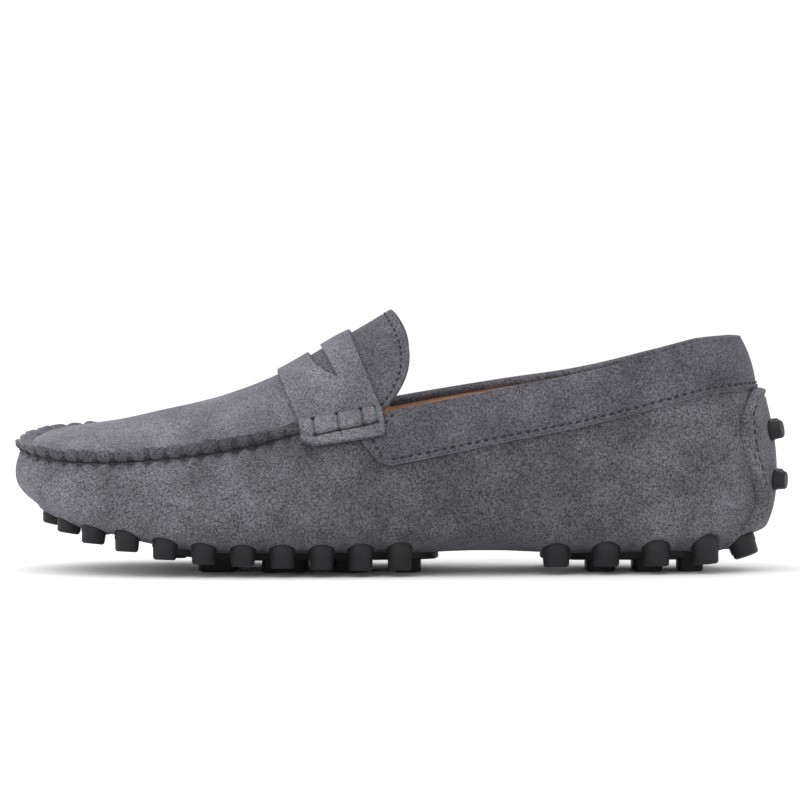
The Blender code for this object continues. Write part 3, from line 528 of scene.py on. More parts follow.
def plug_edge(row, medial):
    """Where the plug's edge lies inside the vamp's rim."""
    u = side_share(np.minimum(1.0, plug_value(row, "edge")), medial)
    return shell_point(u, WALL_TOP) - around(u)[1] * EDGE_SET + UP * EDGE_RISE


def plug_point(row, across):
    """Outer surface of apron and tongue: across runs from -1 lateral to 1 medial."""
    row, across = np.broadcast_arrays(np.asarray(row, float), np.asarray(across, float))
    lateral, medial = plug_edge(row, False), plug_edge(row, True)
    middle = (lateral + medial) / 2
    x = HEEL_X - plug_value(row, "crest") * UPPER_LENGTH
    crest = np.stack((x, middle[..., 1], plug_value(row, "height") * COLLAR_HEIGHT), axis=-1)
    climb = np.maximum(0.0, 1 - across * across) ** CREST_POWER
    share = ((across + 1) / 2)[..., None]
    point = lateral * (1 - share) + medial * share + (crest - middle) * climb[..., None]
    point[..., 0] += 4 * climb * (1 - climb) * plug_value(row, "bulge") * COLLAR_HEIGHT
    return point


def plug_normal(row, across):
    """Upward directions of the plug's surface."""
    row = np.clip(row, 0.35, len(PLUG) - 1.02)
    inner = np.clip(across, -0.98, 0.98)
    over = plug_point(row, inner + 0.02) - plug_point(row, inner - 0.02)
    back = plug_point(row + 0.02, inner) - plug_point(row - 0.02, inner)
    return unit(np.cross(back, over))


def plug(row, across, off=0.0):
    """A layer of the plug, off its outer surface."""
    return plug_point(row, across) + plug_normal(row, across) * np.asarray(off, float)[..., None]


def plug_grid(rows, count):
    """A grid over the plug, closer at its edges: rows, places across, points and directions."""
    row, across = np.meshgrid(rows, -np.cos(np.linspace(0.0, math.pi, count)), indexing="ij")
    return row, across, plug_point(row, across), plug_normal(row, across)


def heel_share(distance):
    """Share round the last at distances from the heel's back, lateral if positive."""
    tip, end = KNOTS[TIP_ROW], KNOTS[-1]
    distance = np.asarray(distance, float)
    return np.where(distance > 0, distance / (2 * tip), distance / (2 * (end - tip)))


def shell_row(u, height):
    """Rows of the whole side, bottom and wall, that lie at given heights."""
    u, height = np.broadcast_arrays(np.asarray(u, float), np.asarray(height, float))
    low, high = np.full_like(height, 0.1), np.full_like(height, WALL_TOP)
    return halved(lambda row: shell_point(u, row)[..., 2] < height, low, high)


def noise_at(points, scale, seed):
    """Smooth noise from -1 to 1 at points; scale is in 1/m."""
    flat = (points.reshape(-1, 3) * scale + seed).tolist()
    return np.array([noise.noise(place) for place in flat]).reshape(points.shape[:-1])


def noise_along(places, scale, seed):
    """Smooth noise from -1 to 1 along a line, at places on it."""
    return noise_at(np.stack((places, places * 0, places * 0), axis=-1), scale, seed)


def grid_faces(rows, columns, closed=False, start=0):
    """Four-sided faces over a grid of vertices."""
    r = np.arange(rows - 1)[:, None]
    c = np.arange(columns if closed else columns - 1)[None, :]
    after = (c + 1) % columns
    row, above = r * columns, (r + 1) * columns
    corners = np.broadcast_arrays(row + c, row + after, above + after, above + c)
    return np.stack(corners, axis=-1).reshape(-1, 4) + start


def band_faces(first, second):
    """Four-sided faces between two closed loops of vertices."""
    return np.stack((first, np.roll(first, -1), np.roll(second, -1), second), axis=-1)


def tube_faces(rings, sides, start=0):
    """Faces of a tube of rings of vertices, its two ends closed."""
    last = start + (rings - 1) * sides
    ends = [list(range(start, start + sides)), list(range(last, last + sides))]
    return grid_faces(rings, sides, True, start).tolist() + ends


def piece(name, points, faces, surfaces, slots=None, slot="suede", nodes=(), weld=0.0, angle=50):
    """A finished object on the shoe from points and faces; slots give each face its surface."""
    mesh = bpy.data.meshes.new(name)
    mesh.from_pydata(np.asarray(points).tolist(), [], [list(face) for face in faces])
    for surface in surfaces:
        mesh.materials.append(surface)
    if slots is not None:
        mesh.polygons.foreach_set("material_index", np.asarray(slots, np.int32))
    form = bmesh.new()
    form.from_mesh(mesh)
    if weld:
        bmesh.ops.remove_doubles(form, verts=form.verts, dist=weld)
    bmesh.ops.recalc_face_normals(form, faces=form.faces)
    form.to_mesh(mesh)
    form.free()
    mesh.shade_smooth()
    mesh.set_sharp_from_angle(angle=math.radians(angle))
    made = bpy.data.objects.new(name, mesh)
    bpy.context.scene.collection.objects.link(made)
    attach(made, "root")
    if nodes:
        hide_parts(*nodes)
    return made


def sheet_piece(name, outer, inner, surfaces, closed=False, round_by=0.3, **more):
    """A solid between two grids of points, edges rounded; surfaces are outside, inside, edge."""
    rows, columns = outer.shape[:2]
    count = rows * columns
    points = [outer.reshape(-1, 3), inner.reshape(-1, 3)]
    front = grid_faces(rows, columns, closed)
    faces = [front, front[:, ::-1] + count]
    slots = [np.zeros(len(front), int), np.full(len(front), 1)]
    index = np.arange(count).reshape(rows, columns)
    if closed:
        loops = [(index[0], index[1]), (index[-1], index[-2])]
    else:
        edge, near = index[0, :-1], index[1, :-1]
        edge = np.concatenate((edge, index[:-1, -1], index[-1, :0:-1], index[:0:-1, 0]))
        near = np.concatenate((near, index[:-1, -2], index[-2, :0:-1], index[:0:-1, 1]))
        loops = [(edge, near)]
    flat_outer, flat_inner = points[0], points[1]
    start = 2 * count
    for edge, near in loops:
        thick = np.linalg.norm(flat_outer[edge] - flat_inner[edge], axis=1, keepdims=True)
        out = unit(flat_outer[edge] - flat_outer[near]) * thick * round_by
        points.append((flat_outer[edge] + flat_inner[edge]) / 2 + out)
        rim = np.arange(len(edge)) + start
        start += len(edge)
        for first, second in ((edge, rim), (rim, edge + count)):
            faces.append(band_faces(first, second))
            slots.append(np.full(len(first), 2))
    points, faces = np.concatenate(points), np.concatenate(faces).tolist()
    return piece(name, points, faces, surfaces, np.concatenate(slots), **more)


def threads(name, paths, radius, surface, slot="suede"):
    """Stitches: a small closed tube along each path of points, its ends drawn in."""
    points, faces, start = [], [], 0
    turn = np.arange(THREAD_SIDES) * 2 * math.pi / THREAD_SIDES
    for path in paths:
        path = np.asarray(path)
        ahead = unit(np.gradient(path, axis=0))
        side = unit(np.cross(ahead, np.array((0.13, 0.31, 0.94))))
        up = np.cross(side, ahead)
        size = np.full(len(path), radius)
        size[0] = size[-1] = radius * THREAD_END
        ring = np.cos(turn)[:, None] * side[:, None] + np.sin(turn)[:, None] * up[:, None]
        points.append((path[:, None] + size[:, None, None] * ring).reshape(-1, 3))
        faces += tube_faces(len(path), THREAD_SIDES, start)
        start += len(path) * THREAD_SIDES
    return piece(name, np.concatenate(points), faces, [surface], slot=slot, angle=80)


def bowed(first, last, normal, lift, sink, count=5):
    """A stitch's path between its two holes: sunk at its ends and raised between."""
    share = np.linspace(0.0, 1.0, count)[:, None]
    rise = (np.sin(share * math.pi) * (lift + sink) - sink) * np.asarray(normal)
    return np.asarray(first) * (1 - share) + np.asarray(last) * share + rise


def sample(grid, i, j):
    """A point inside a grid, between its vertices."""
    i0 = int(np.clip(i, 0, grid.shape[0] - 2))
    j0 = int(np.clip(j, 0, grid.shape[1] - 2))
    a, b = i - i0, j - j0
    return (
        grid[i0, j0] * (1 - a) * (1 - b)
        + grid[i0 + 1, j0] * a * (1 - b)
        + grid[i0, j0 + 1] * (1 - a) * b
        + grid[i0 + 1, j0 + 1] * a * b
    )


def grid_normals(grid):
    """Directions square to a grid of points."""
    return unit(np.cross(np.gradient(grid, axis=0), np.gradient(grid, axis=1)))


# Seam line: stitches are evenly spaced along the rim from one strap end round the toe to the other.
SEAM_ENDS = [float(side_share(STRAP_FRONT - RIDGE_FRONT_GAP, medial)) for medial in (False, True)]
RIM_SHARES = np.linspace(*SEAM_ENDS, 1600)
RIM_LENGTHS = travelled(shell_point(RIM_SHARES, WALL_TOP))
PUCKERS = round(RIM_LENGTHS[-1] / PUCKER_PITCH)


def pucker_phase(u):
    """Stitch count along the rim at shares round; whole numbers are stitches."""
    return np.interp(u, RIM_SHARES, RIM_LENGTHS) / RIM_LENGTHS[-1] * PUCKERS


def pucker_share(phase):
    """Share round at a stitch count."""
    return np.interp(np.asarray(phase) / PUCKERS * RIM_LENGTHS[-1], RIM_LENGTHS, RIM_SHARES)


def groove(phase, width):
    """1 at each stitch, falling to 0 between."""
    return bell(phase - np.round(phase), width)


def ring_row(sole, u):
    """Row of the bottom that a sole's ring lies on."""
    along = (HEEL_X - around(u)[0][..., 0]) / UPPER_LENGTH
    turned = smooth((along - RING_TURNS_FROM) / (1 - RING_TURNS_FROM))
    out = sole.side_out + (sole.end_out - sole.side_out) * turned
    return 2 / math.pi * np.arcsin(out ** (BOTTOM_POWER / 2))


def ring_places(sole, forefoot):
    """Shares round the last of a ring's studs, evenly spaced along the ring."""
    first, last = (float(side_share(sole.ring_end, medial)) for medial in (False, True))
    if not forefoot:
        first, last = last - 1, first
    shares = np.linspace(first, last, 240)
    lengths = travelled(shell_point(shares, ring_row(sole, shares)))
    return np.interp(np.linspace(0, lengths[-1], sole.count), lengths, shares)


def ring_stud(sole, u):
    """Base point, axis and length of one stud of a ring."""
    v = ring_row(sole, u)
    base, normal = shell_point(u, v), shell_normal(u, v)
    along = (HEEL_X - base[0]) / UPPER_LENGTH
    end = max(0.0, along - 0.86) / 0.14 + max(0.0, 0.09 - along) / 0.05
    axis = unit(normal * min(1.0, 0.25 + end) - UP)
    foot = np.interp(along, [row.along for row in FEET], [row.height for row in FEET]) * TOE_SPRING
    return base, axis, (base[2] - foot) / -axis[2]


RING_STUDS = [
    (sole, *ring_stud(sole, u))
    for sole, forefoot in ((FOREFOOT, True), (HEEL, False))
    for u in ring_places(sole, forefoot)
]

# Creases of the vamp: ends in the side view as shares of the upper's length and of the collar
# height, depth and width in metres; side is -1 lateral or 1 medial.
Crease = namedtuple("Crease", "side from_along from_height to_along to_height depth width")
CREASES = (
    Crease(-1, 0.607, 0.560, 0.586, 0.465, 0.0016, 0.0013),
    Crease(-1, 0.640, 0.500, 0.612, 0.415, 0.0012, 0.0026),
    Crease(-1, 0.700, 0.480, 0.684, 0.400, 0.0008, 0.0018),
    Crease(-1, 0.760, 0.470, 0.752, 0.400, 0.0012, 0.0012),
    Crease(-1, 0.835, 0.430, 0.815, 0.350, 0.0007, 0.0024),
    Crease(-1, 0.905, 0.425, 0.890, 0.345, 0.0007, 0.0022),
    Crease(-1, 0.520, 0.400, 0.470, 0.180, 0.0008, 0.0060),
    Crease(1, 0.612, 0.580, 0.590, 0.470, 0.0016, 0.0013),
    Crease(1, 0.645, 0.520, 0.615, 0.420, 0.0012, 0.0026),
    Crease(1, 0.770, 0.500, 0.758, 0.420, 0.0010, 0.0014),
    Crease(1, 0.860, 0.510, 0.842, 0.420, 0.0007, 0.0024),
    Crease(1, 0.500, 0.420, 0.455, 0.190, 0.0008, 0.0060),
)


def crease_depth(points):
    """How far the listed creases sink the surface at points."""
    along = (HEEL_X - points[..., 0]) / UPPER_LENGTH
    flat = np.stack((along * UPPER_LENGTH, points[..., 2]), axis=-1)
    total = np.zeros(points.shape[:-1])
    for crease in CREASES:
        size = np.array((UPPER_LENGTH, COLLAR_HEIGHT))
        first = (crease.from_along, crease.from_height) * size
        way = (crease.to_along, crease.to_height) * size - first
        share = np.clip(((flat - first) @ way) / (way @ way), 0.0, 1.0)
        away = np.linalg.norm(flat - first - share[..., None] * way, axis=-1)
        on_side = smooth(points[..., 1] * crease.side / 0.006)
        total += on_side * crease.depth * bell(away, crease.width)
    return total


def vamp_relief(points, u, v):
    """How far the worked suede stands off the last: gathers, creases and lips round the studs."""
    below = (WALL_TOP - v) * WALL_LENGTH
    phase = pucker_phase(u)
    inside = smooth((u - SEAM_ENDS[0]) / GATHER_FADE) * smooth((SEAM_ENDS[1] - u) / GATHER_FADE)
    pleat = 0.6 + 0.5 * noise_along(phase * 0.9, 1.0, 7.3)
    gather = -GATHER_DEPTH * groove(phase, 0.15) * bell(below, GATHER_REACH)
    gather -= SEAM_SINK * bell(below - 0.0008, 0.0010)
    gather -= PLEAT_RISE * np.cos(2 * math.pi * phase) * pleat * np.exp(-below / PLEAT_REACH)
    relief = np.where(v > 1.0, gather * inside * smooth(below / SEAM_COVER), 0.0)
    relief -= crease_depth(points) * (v > 0.9)
    relief += 0.00035 * noise_at(points, 38.0, 3.1) + 0.00012 * noise_at(points, 120.0, 9.7)
    low = v < STUD_LIP_ROWS
    lip = np.zeros(np.count_nonzero(low))
    for sole, base, axis, _ in RING_STUDS:
        away = points[low] - base
        away = np.linalg.norm(away - (away @ axis)[:, None] * axis, axis=1)
        ring = sole.radius + STUD_TAPER + 0.0004
        lip = np.maximum(lip, STUD_LIP * bell(away - ring, STUD_LIP_WIDTH))
    relief[low] += lip
    return np.maximum(relief, -MOST_SINK)


def make_vamp(suede, lining, edge):
    """The suede body with its lining, in one closed skin."""
    columns = VAMP_COLUMNS
    shares = np.arange(columns) / columns
    wall = 1.0 + np.linspace(0.0, 1.0, 62) ** 0.85
    u, v = np.meshgrid(shares, np.concatenate((np.linspace(0.0, 1.0, 33)[:-1], wall)))
    outer = shell_point(u, v)
    outer = outer + shell_normal(u, v) * vamp_relief(outer, u, v)[..., None]
    wall = np.linspace(1.0, WALL_TOP, 12)
    u, v = np.meshgrid(shares, np.concatenate((np.linspace(0.0, 1.0, 9)[:-1], wall)))
    inner = shell(u, v, -VAMP_WALL)
    outer_faces = grid_faces(len(outer), columns, True)
    inner_faces = grid_faces(len(inner), columns, True, len(outer) * columns)[:, ::-1]
    top = np.arange(columns) + (len(outer) - 1) * columns
    rim = band_faces(top, top + len(inner) * columns)
    # Inside the seam the top three rows of the lining are raw suede.
    inner_slots = np.ones((len(inner) - 1, columns), int)
    inner_slots[-3:, (shares > SEAM_ENDS[0]) & (shares < SEAM_ENDS[1])] = 2
    slots = [0] * len(outer_faces) + inner_slots.ravel().tolist() + [2] * len(rim)
    points = np.concatenate((outer.reshape(-1, 3), inner.reshape(-1, 3)))
    faces = np.concatenate((outer_faces, inner_faces, rim)).tolist()
    piece("vamp_suede", points, faces, [suede, lining, edge], slots, nodes=["vamp"], weld=1e-6)


def make_apron(suede, edge):
    """The apron over the toes and instep."""
    behind = np.linspace(3.0, TONGUE_FROM - 0.05, 60)
    rows = np.concatenate((np.linspace(0.0, 3.0, 40)[:-1], behind))
    row, across, outer, normal = plug_grid(rows, 110)
    reach = np.minimum(np.abs(1 - np.abs(across)) * 0.04, row * 0.004)
    relief = 0.00030 * noise_at(outer, 34.0, 5.5) + 0.00010 * noise_at(outer, 110.0, 2.4)
    relief *= smooth(reach / 0.006)
    outer = outer + normal * relief[..., None]
    inner = outer - normal * APRON_THICKNESS
    surfaces = [suede, edge, edge]
    sheet_piece("apron_suede", outer, inner, surfaces, slot="suede_light", nodes=["apron"])


def plug_tree():
    """The apron's outer surface ahead of the strap, finely divided, to find heights on."""
    rows = np.linspace(0.0, plug_row(STRAP_FRONT) + 0.4, 70)
    points = plug_grid(rows, 60)[2]
    faces = grid_faces(*points.shape[:2]).tolist()
    return BVHTree.FromPolygons(points.reshape(-1, 3).tolist(), faces)


def ridge_height(phase, closed):
    """Height of the seam's ridge at stitch counts; it is uneven and lower at each stitch."""
    share = phase / PUCKERS
    height = RIDGE_HEIGHT + RIDGE_SIDE_RISE * smooth(np.abs(share - 0.5) / 0.18)
    height -= RIDGE_LIE * smooth((share - 0.43) / 0.06) * smooth((0.72 - share) / 0.08)
    rough, fine = (noise_along(phase, *kind) for kind in RIDGE_NOISES)
    return height * (1 - 0.18 * closed + 0.18 * rough + 0.16 * fine)


def ridge_swell(phase, closed):
    """How far the seam's ridge puffs out at stitch counts."""
    rough, fine = (noise_along(phase, *kind) for kind in RIDGE_NOISES)
    return RIDGE_PUFF * (1 - 1.15 * closed) * (1 + 0.4 * rough) + 0.0004 * fine


def make_seam(suede, edge, thread):
    """The gathered ridge over the joint of vamp and apron, with its stitches."""
    phase = np.linspace(0.0, PUCKERS, PUCKERS * RIDGE_RINGS + 1)
    u = pucker_share(phase)
    rim, outward = shell_point(u, WALL_TOP), around(u)[1]
    wall_normal = shell_normal(u, WALL_TOP)
    lean, up = unit(outward + wall_normal), unit(wall_normal + UP)
    low = shell(u, RIDGE_FOOT, CLEARANCE)
    inside = rim - outward * (EDGE_SET + SEAM_FOOT) + UP * EDGE_RISE
    tree = plug_tree()
    for point in inside:
        hit = tree.ray_cast(Vector(point) + Vector(UP * COLLAR_HEIGHT), Vector(-UP))[0]
        point[2] = max(point[2], hit.z if hit else 0.0) + CLEARANCE
    closed = groove(phase, 0.14)
    ends = smooth((phase - 0.4) / 2.2) * smooth((PUCKERS - phase - 0.4) / 2.2)
    height = (ridge_height(phase, closed) * (0.25 + 0.75 * ends))[:, None]
    swell = (ridge_swell(phase, closed) * (0.2 + 0.8 * ends))[:, None]
    outer_edge = [low - lean * RIDGE_SINK]
    for t, out in RIDGE_OUTLINE:
        outer_edge.append(low * (1 - t) + rim * t + up * height * t + lean * swell * out)
    crest_in = rim + up * height - outward * 0.0010
    crest_low = rim + up * height * 0.80 - outward * 0.0019
    hollow = outward * (0.0004 * (1 - closed))[:, None]
    inner_mid = inside * 0.55 + crest_low * 0.45 - hollow
    heart = rim - outward * 0.0010 - UP * 0.0006
    profile = np.stack((*outer_edge, crest_in, crest_low, inner_mid, inside, heart), axis=1)
    sides = profile.shape[1]
    faces = tube_faces(len(u), sides)
    crest = len(outer_edge) - 1
    slots = [int(k % sides == crest) for k in range(len(faces) - 2)] + [0, 0]
    points, surfaces = profile.reshape(-1, 3), [suede, edge]
    piece("moc_seam_ridge", points, faces, surfaces, slots, nodes=["moc_seam"], angle=70)
    stitches = []
    base = outer_edge[1]
    for i in range(RIDGE_RINGS, PUCKERS * RIDGE_RINGS, RIDGE_RINGS):
        slant = up[i] * 0.0003
        first, last = base[i - 3] - slant, base[i + 3] + slant * 0.4
        stitches.append(bowed(first, last, lean[i], 0.0008, 0.0001))
    threads("moc_seam_stitches", stitches, RIDGE_STITCH_RADIUS, thread)
    run = (low + lean * 0.0002 + up * 0.0001)[2:-2]
    threads("moc_seam_cord", [run], RIDGE_CORD_RADIUS, thread)


def strap_path():
    """The strap's under surface: a grid over its width and along its path, even and smoothed."""
    first, last = plug_row(STRAP_FRONT), plug_row(STRAP_REAR)
    width = np.linspace(0.0, 1.0, STRAP_WIDE)
    rows = first + width * (last - first)
    top = plug(rows[:, None], np.linspace(-0.985, 0.985, 161)[None, :], CLEARANCE)
    front, rear = np.clip(1 - width / 0.15, 0, 1), np.clip((width - 0.88) / 0.12, 0, 1)
    drop = STRAP_DROP - STRAP_TOP_DROP - 0.0030 * front**2 - 0.0012 * rear**2
    drops = STRAP_TOP_DROP + drop[:, None] * np.linspace(0.0, 1.0, 12)
    walls = []
    for medial in (False, True):
        u = side_share(plug_value(rows, "edge"), medial)
        place = wall_place(u[:, None], around(u)[0][:, 4, None] - drops)
        walls.append(shell(u[:, None], place, 3 * CLEARANCE + BAND_THICKNESS))
    path = np.concatenate((walls[0][:, ::-1], top, walls[1]), axis=1)
    even = np.empty((STRAP_WIDE, STRAP_LONG, 3))
    for i, line in enumerate(path):
        lengths = travelled(line)
        stops = np.linspace(0, lengths[-1], STRAP_LONG)
        even[i] = np.stack([np.interp(stops, lengths, line[:, axis]) for axis in range(3)], axis=-1)
    for _ in range(STRAP_SMOOTHING):
        even[:, 1:-1] = (even[:, :-2] + 2 * even[:, 1:-1] + even[:, 2:]) / 4
    return even


def roll_line(ends, width):
    """Distance of one of the roll's lines from the strap's end at shares of the width."""
    return ends[0] + (ends[1] - ends[0]) * width


def roll_relief(width, from_end):
    """Height of the pinched roll at shares of the width and distances from the strap's end."""
    low, high = roll_line(ROLL_LOW, width), roll_line(ROLL_HIGH, width)
    middle, half = (low + high) / 2, (high - low) / 2
    pillow = np.clip(1 - np.abs((from_end - middle) / half) ** 4.0, 0.0, 1.0) ** 0.5
    pinch = np.ones_like(pillow)
    for place in ROLL_GROOVES:
        pinch *= 1 - 0.80 * bell(width - place, 0.015)
    fade = 1 - smooth((width - ROLL_GROOVES[-1]) / 0.02)
    return (ROLL_PILLOW * pillow * pinch - ROLL_CREASE * bell(from_end - low, 0.0005)) * fade


def cut_slot(strap, inside):
    """Cut the penny slot out of the strap."""
    first, last = plug_row(STRAP_FRONT), plug_row(STRAP_REAR)
    stops = np.linspace(-SLOT[-1].down, SLOT[-1].down, 61)
    downs = [entry.down for entry in SLOT]
    front = np.interp(np.abs(stops), downs, [entry.front for entry in SLOT])
    rear = np.interp(np.abs(stops), downs, [entry.rear for entry in SLOT])
    rows = first + (last - first) * np.stack((front, (front + rear) / 2, rear), axis=-1)
    above = plug(rows, stops[:, None], 4 * STRAP_THICKNESS)
    below = plug(rows, stops[:, None], -STRAP_THICKNESS)
    # The cutter's dark suede passes to the slot's cut walls: painted shade inside the slot.
    cutter = sheet_piece("slot_form", above, below, [inside] * 3, round_by=0.0)
    step = strap.modifiers.new("Slot", "BOOLEAN")
    step.operation = "DIFFERENCE"
    step.solver = "EXACT"
    step.object = cutter
    step.material_mode = "TRANSFER"
    evaluated = strap.evaluated_get(bpy.context.evaluated_depsgraph_get())
    cut = bpy.data.meshes.new_from_object(evaluated)
    strap.modifiers.clear()
    old, strap.data = strap.data, cut
    bpy.data.meshes.remove(old)
    bpy.data.objects.remove(cutter, do_unlink=True)
    strap.data.set_sharp_from_angle(angle=math.radians(50))


def make_slot_shadow(suede):
    """Painted shadow on the apron behind the slot: a thin sheet of dark suede."""
    first, last = plug_row(STRAP_FRONT), plug_row(STRAP_REAR)
    spread = first + (last - first) * np.linspace(0.28, 0.60, 13)
    row, place = np.meshgrid(spread, np.linspace(-0.8, 0.8, 41), indexing="ij")
    outer, inner = plug(row, place, 0.00022), plug(row, place, 0.00004)
    more = {"slot": "suede_dark", "nodes": ["apron"], "round_by": 0.0}
    sheet_piece("slot_shadow", outer, inner, [suede] * 3, **more)


def roll_threads(upper, normals, lengths, thread):
    """Wraps in the roll's grooves, dark lines of painted shadow along both its edges and a stitch
    at each crossing.
    """

    def spot_at(side, place, reach):
        """Row and column of the grid at a share of the width and a distance from an end."""
        i = place * (STRAP_WIDE - 1)
        row_length = lengths[int(round(i)), -1]
        return i, (row_length - reach if side else reach) / row_length * (STRAP_LONG - 1)

    wraps, lines, stitches = [], [], []
    edges = ((ROLL_LOW, ROLL_GROOVES[0], 0.0001), (ROLL_HIGH, 0.01, 0.0003))
    for side in (False, True):
        for place in ROLL_GROOVES:
            low, high = roll_line(ROLL_LOW, place), roll_line(ROLL_HIGH, place)
            spots = [spot_at(side, place, reach) for reach in np.linspace(low, high, 9)]
            wraps.append([sample(upper, *spot) for spot in spots])
            for reach in (low, high):
                ends = place - CROSSING_HALF, place + CROSSING_HALF
                pair = [spot_at(side, end, reach) for end in ends]
                holes = [sample(upper, *spot) for spot in pair]
                stitches.append(bowed(*holes, sample(normals, *pair[0]), 0.0006, -0.0001))
        # Dark thread lines along the roll's lower and upper edges: painted shadow of its folds, the
        # upper one lifted to show.
        for line, start, lift in edges:
            places = np.linspace(start, ROLL_GROOVES[-1], 40)
            spots = [spot_at(side, place, roll_line(line, place)) for place in places]
            lines.append([sample(upper, *spot) + sample(normals, *spot) * lift for spot in spots])
    threads("strap_roll_wraps", wraps, WRAP_RADIUS, thread, slot="suede_light")
    threads("strap_roll_shadow_lines", lines, SHADOW_LINE_RADIUS, thread, slot="suede_light")
    threads("strap_roll_stitches", stitches, CROSSING_RADIUS, thread, slot="suede_light")


def make_strap(suede, inside, thread):
    """The saddle strap: rolled and stitched ends, and the slot cut out."""
    under = strap_path()
    normals = grid_normals(under)
    normals *= np.sign(normals[STRAP_WIDE // 2, STRAP_LONG // 2, 2])
    lengths = travelled(under.swapaxes(0, 1)).T
    from_end = np.minimum(lengths, lengths[:, -1:] - lengths)
    width = np.linspace(0.0, 1.0, STRAP_WIDE)[:, None] + from_end * 0
    relief = roll_relief(width, from_end) + 0.00012 * noise_at(under, 60.0, 1.9)
    upper = under + normals * (STRAP_THICKNESS + relief)[..., None]
    more = {"slot": "suede_light", "nodes": ["saddle_strap"]}
    strap = sheet_piece("saddle_strap_suede", upper, under, [suede, inside, suede], **more)
    # The dark suede given as inside is also painted shade in the slot, on its cut walls and on the
    # apron behind it.
    cut_slot(strap, inside)
    make_slot_shadow(inside)
    roll_threads(upper, normals, lengths, thread)


def make_tongue(suede, edge, thread):
    """The tongue behind the strap, with its edge stitching."""
    rows = np.linspace(TONGUE_FROM + 0.05, len(PLUG) - 1, 46)
    _, _, outer, normal = plug_grid(rows, 100)
    lengths = travelled(outer)
    from_end = lengths[-1:] - lengths
    relief = 0.00025 * noise_at(outer, 40.0, 6.1)
    relief -= TONGUE_LINE * bell(from_end - TONGUE_LINE_IN, 0.0006)
    outer = outer + normal * relief[..., None]
    inner = outer - normal * APRON_THICKNESS
    more = {"slot": "suede_dark", "nodes": ["tongue"]}
    sheet_piece("tongue_suede", outer, inner, [suede, edge, suede], **more)
    path = []
    for j in range(2, outer.shape[1] - 2):
        i = np.interp(-TONGUE_LINE_IN, -from_end[:, j], np.arange(len(rows)))
        path.append((sample(outer, i, j), sample(normal, i, j)))
    stitches = row_of_stitches(path, TONGUE_THREAD)
    threads("tongue_stitches", stitches, TONGUE_THREAD.radius, thread, slot="suede_dark")


def row_of_stitches(path, kind):
    """Short stitches of one kind along a path of points and normals."""
    points, normals = (np.array(part) for part in zip(*path))
    run = travelled(points)

    def place_at(values, distance):
        """Values read at a distance along the path."""
        return np.array([np.interp(distance, run, values[:, k]) for k in range(3)])

    made = []
    for start in np.arange(kind.pitch / 2, run[-1] - kind.length, kind.pitch):
        first, last = place_at(points, start), place_at(points, start + kind.length)
        made.append(bowed(first, last, unit(place_at(normals, start)), 0.00030, 0.00008, 4))
    return made


def make_band(suede, lining, edge, thread):
    """The collar band: down the outside, over the top line and a little way inside."""
    first, last = (float(side_share(BAND_FRONT_TOP, medial)) for medial in (False, True))
    medial = np.linspace(0.0, last - 1, BAND_STOPS)[1:]
    stops = np.concatenate((np.linspace(first, 0.0, BAND_STOPS), medial))

    def front(along):
        """Share round of the band's front edge on each stop's side, at a share of the length."""
        return np.where(stops > 0, side_share(along, False), side_share(along, True) - 1)

    end, middle, low = front(BAND_FRONT_TOP), front(BAND_FRONT_MIDDLE), front(BAND_FRONT_LOW)
    near = np.maximum(0.0, stops / end - 1 + BAND_FRONT_ZONE) / BAND_FRONT_ZONE
    outer, inner = [], []
    depths = np.linspace(1.0, 0.0, BAND_ROWS)
    for depth in depths:
        if depth < 0.5:
            shift = end + (middle - end) * depth * 2
        else:
            shift = middle + (low - middle) * (depth * 2 - 1)
        u = stops * (1 + (shift / end - 1) * near)
        rounded = 1 - BAND_CORNER * smooth((near - 0.80) / 0.20) ** 2
        place = wall_place(u, around(u)[0][:, 4] - BAND_DEPTH * depth * rounded)
        fold = BAND_FOLD * bell(depth - BAND_FOLD_AT, 0.035)
        line = BAND_LINE * bell(depth - BAND_LINE_AT, 0.022)
        swell = max(0.0, math.sin(math.pi * min(1.0, depth / BAND_LINE_AT)))
        puff = BAND_PUFF * swell**0.8 if depth < BAND_LINE_AT else 0.0
        base = shell(u, place, CLEARANCE)
        relief = BAND_THICKNESS + fold - line + puff + 0.0002 * noise_at(base, 45.0, 2.2)
        outer.append(base + shell_normal(u, place) * relief[:, None])
        inner.append(base)
    out = shell_normal(stops, WALL_TOP)
    centre = shell_point(stops, WALL_TOP) - out * VAMP_WALL / 2 + UP * CLEARANCE
    half = VAMP_WALL / 2 + CLEARANCE
    for turn in np.radians(np.linspace(20, 160, 8)):
        c, s = math.cos(turn), math.sin(turn)
        outer.append(centre + out * c * (half + BAND_THICKNESS) + UP * s * BAND_THICKNESS * 1.2)
        inner.append(centre + out * c * half + UP * s * 0.0001)
    rim = around(stops)[0][:, 4]
    for share in np.linspace(0.03, 0.26, 8):
        place = wall_place(stops, rim - BAND_TURN_IN * share)
        off = -VAMP_WALL - CLEARANCE
        outer.append(shell(stops, place, off - BAND_THICKNESS))
        inner.append(shell(stops, place, off))
    outer, inner = np.array(outer), np.array(inner)
    sheet_piece("collar_band_suede", outer, inner, [suede, lining, edge], nodes=["collar_band"])
    normals = grid_normals(outer)
    normals *= np.sign(np.sum(normals * (outer - inner), axis=-1, keepdims=True))
    columns = outer.shape[1]
    line_row = (1 - BAND_LINE_AT) * (BAND_ROWS - 1)
    lines = [[(line_row, j) for j in np.linspace(6, columns - 7, 900)]]
    for j in (4, columns - 5):
        lines.append([(i, j) for i in np.linspace(2.0, BAND_ROWS - 2, 40)])
    rows = []
    for line in lines:
        path = [(sample(outer, i, j), sample(normals, i, j)) for i, j in line]
        rows += row_of_stitches(path, BAND_THREAD)
    threads("collar_band_stitches", rows, BAND_THREAD.radius, thread)


def tab_half(height):
    """Half width of the heel tab at shares of the collar height."""
    heights = [row.height for row in reversed(TAB)]
    return np.interp(height, heights, [row.half for row in reversed(TAB)]) * BALL_WIDTH


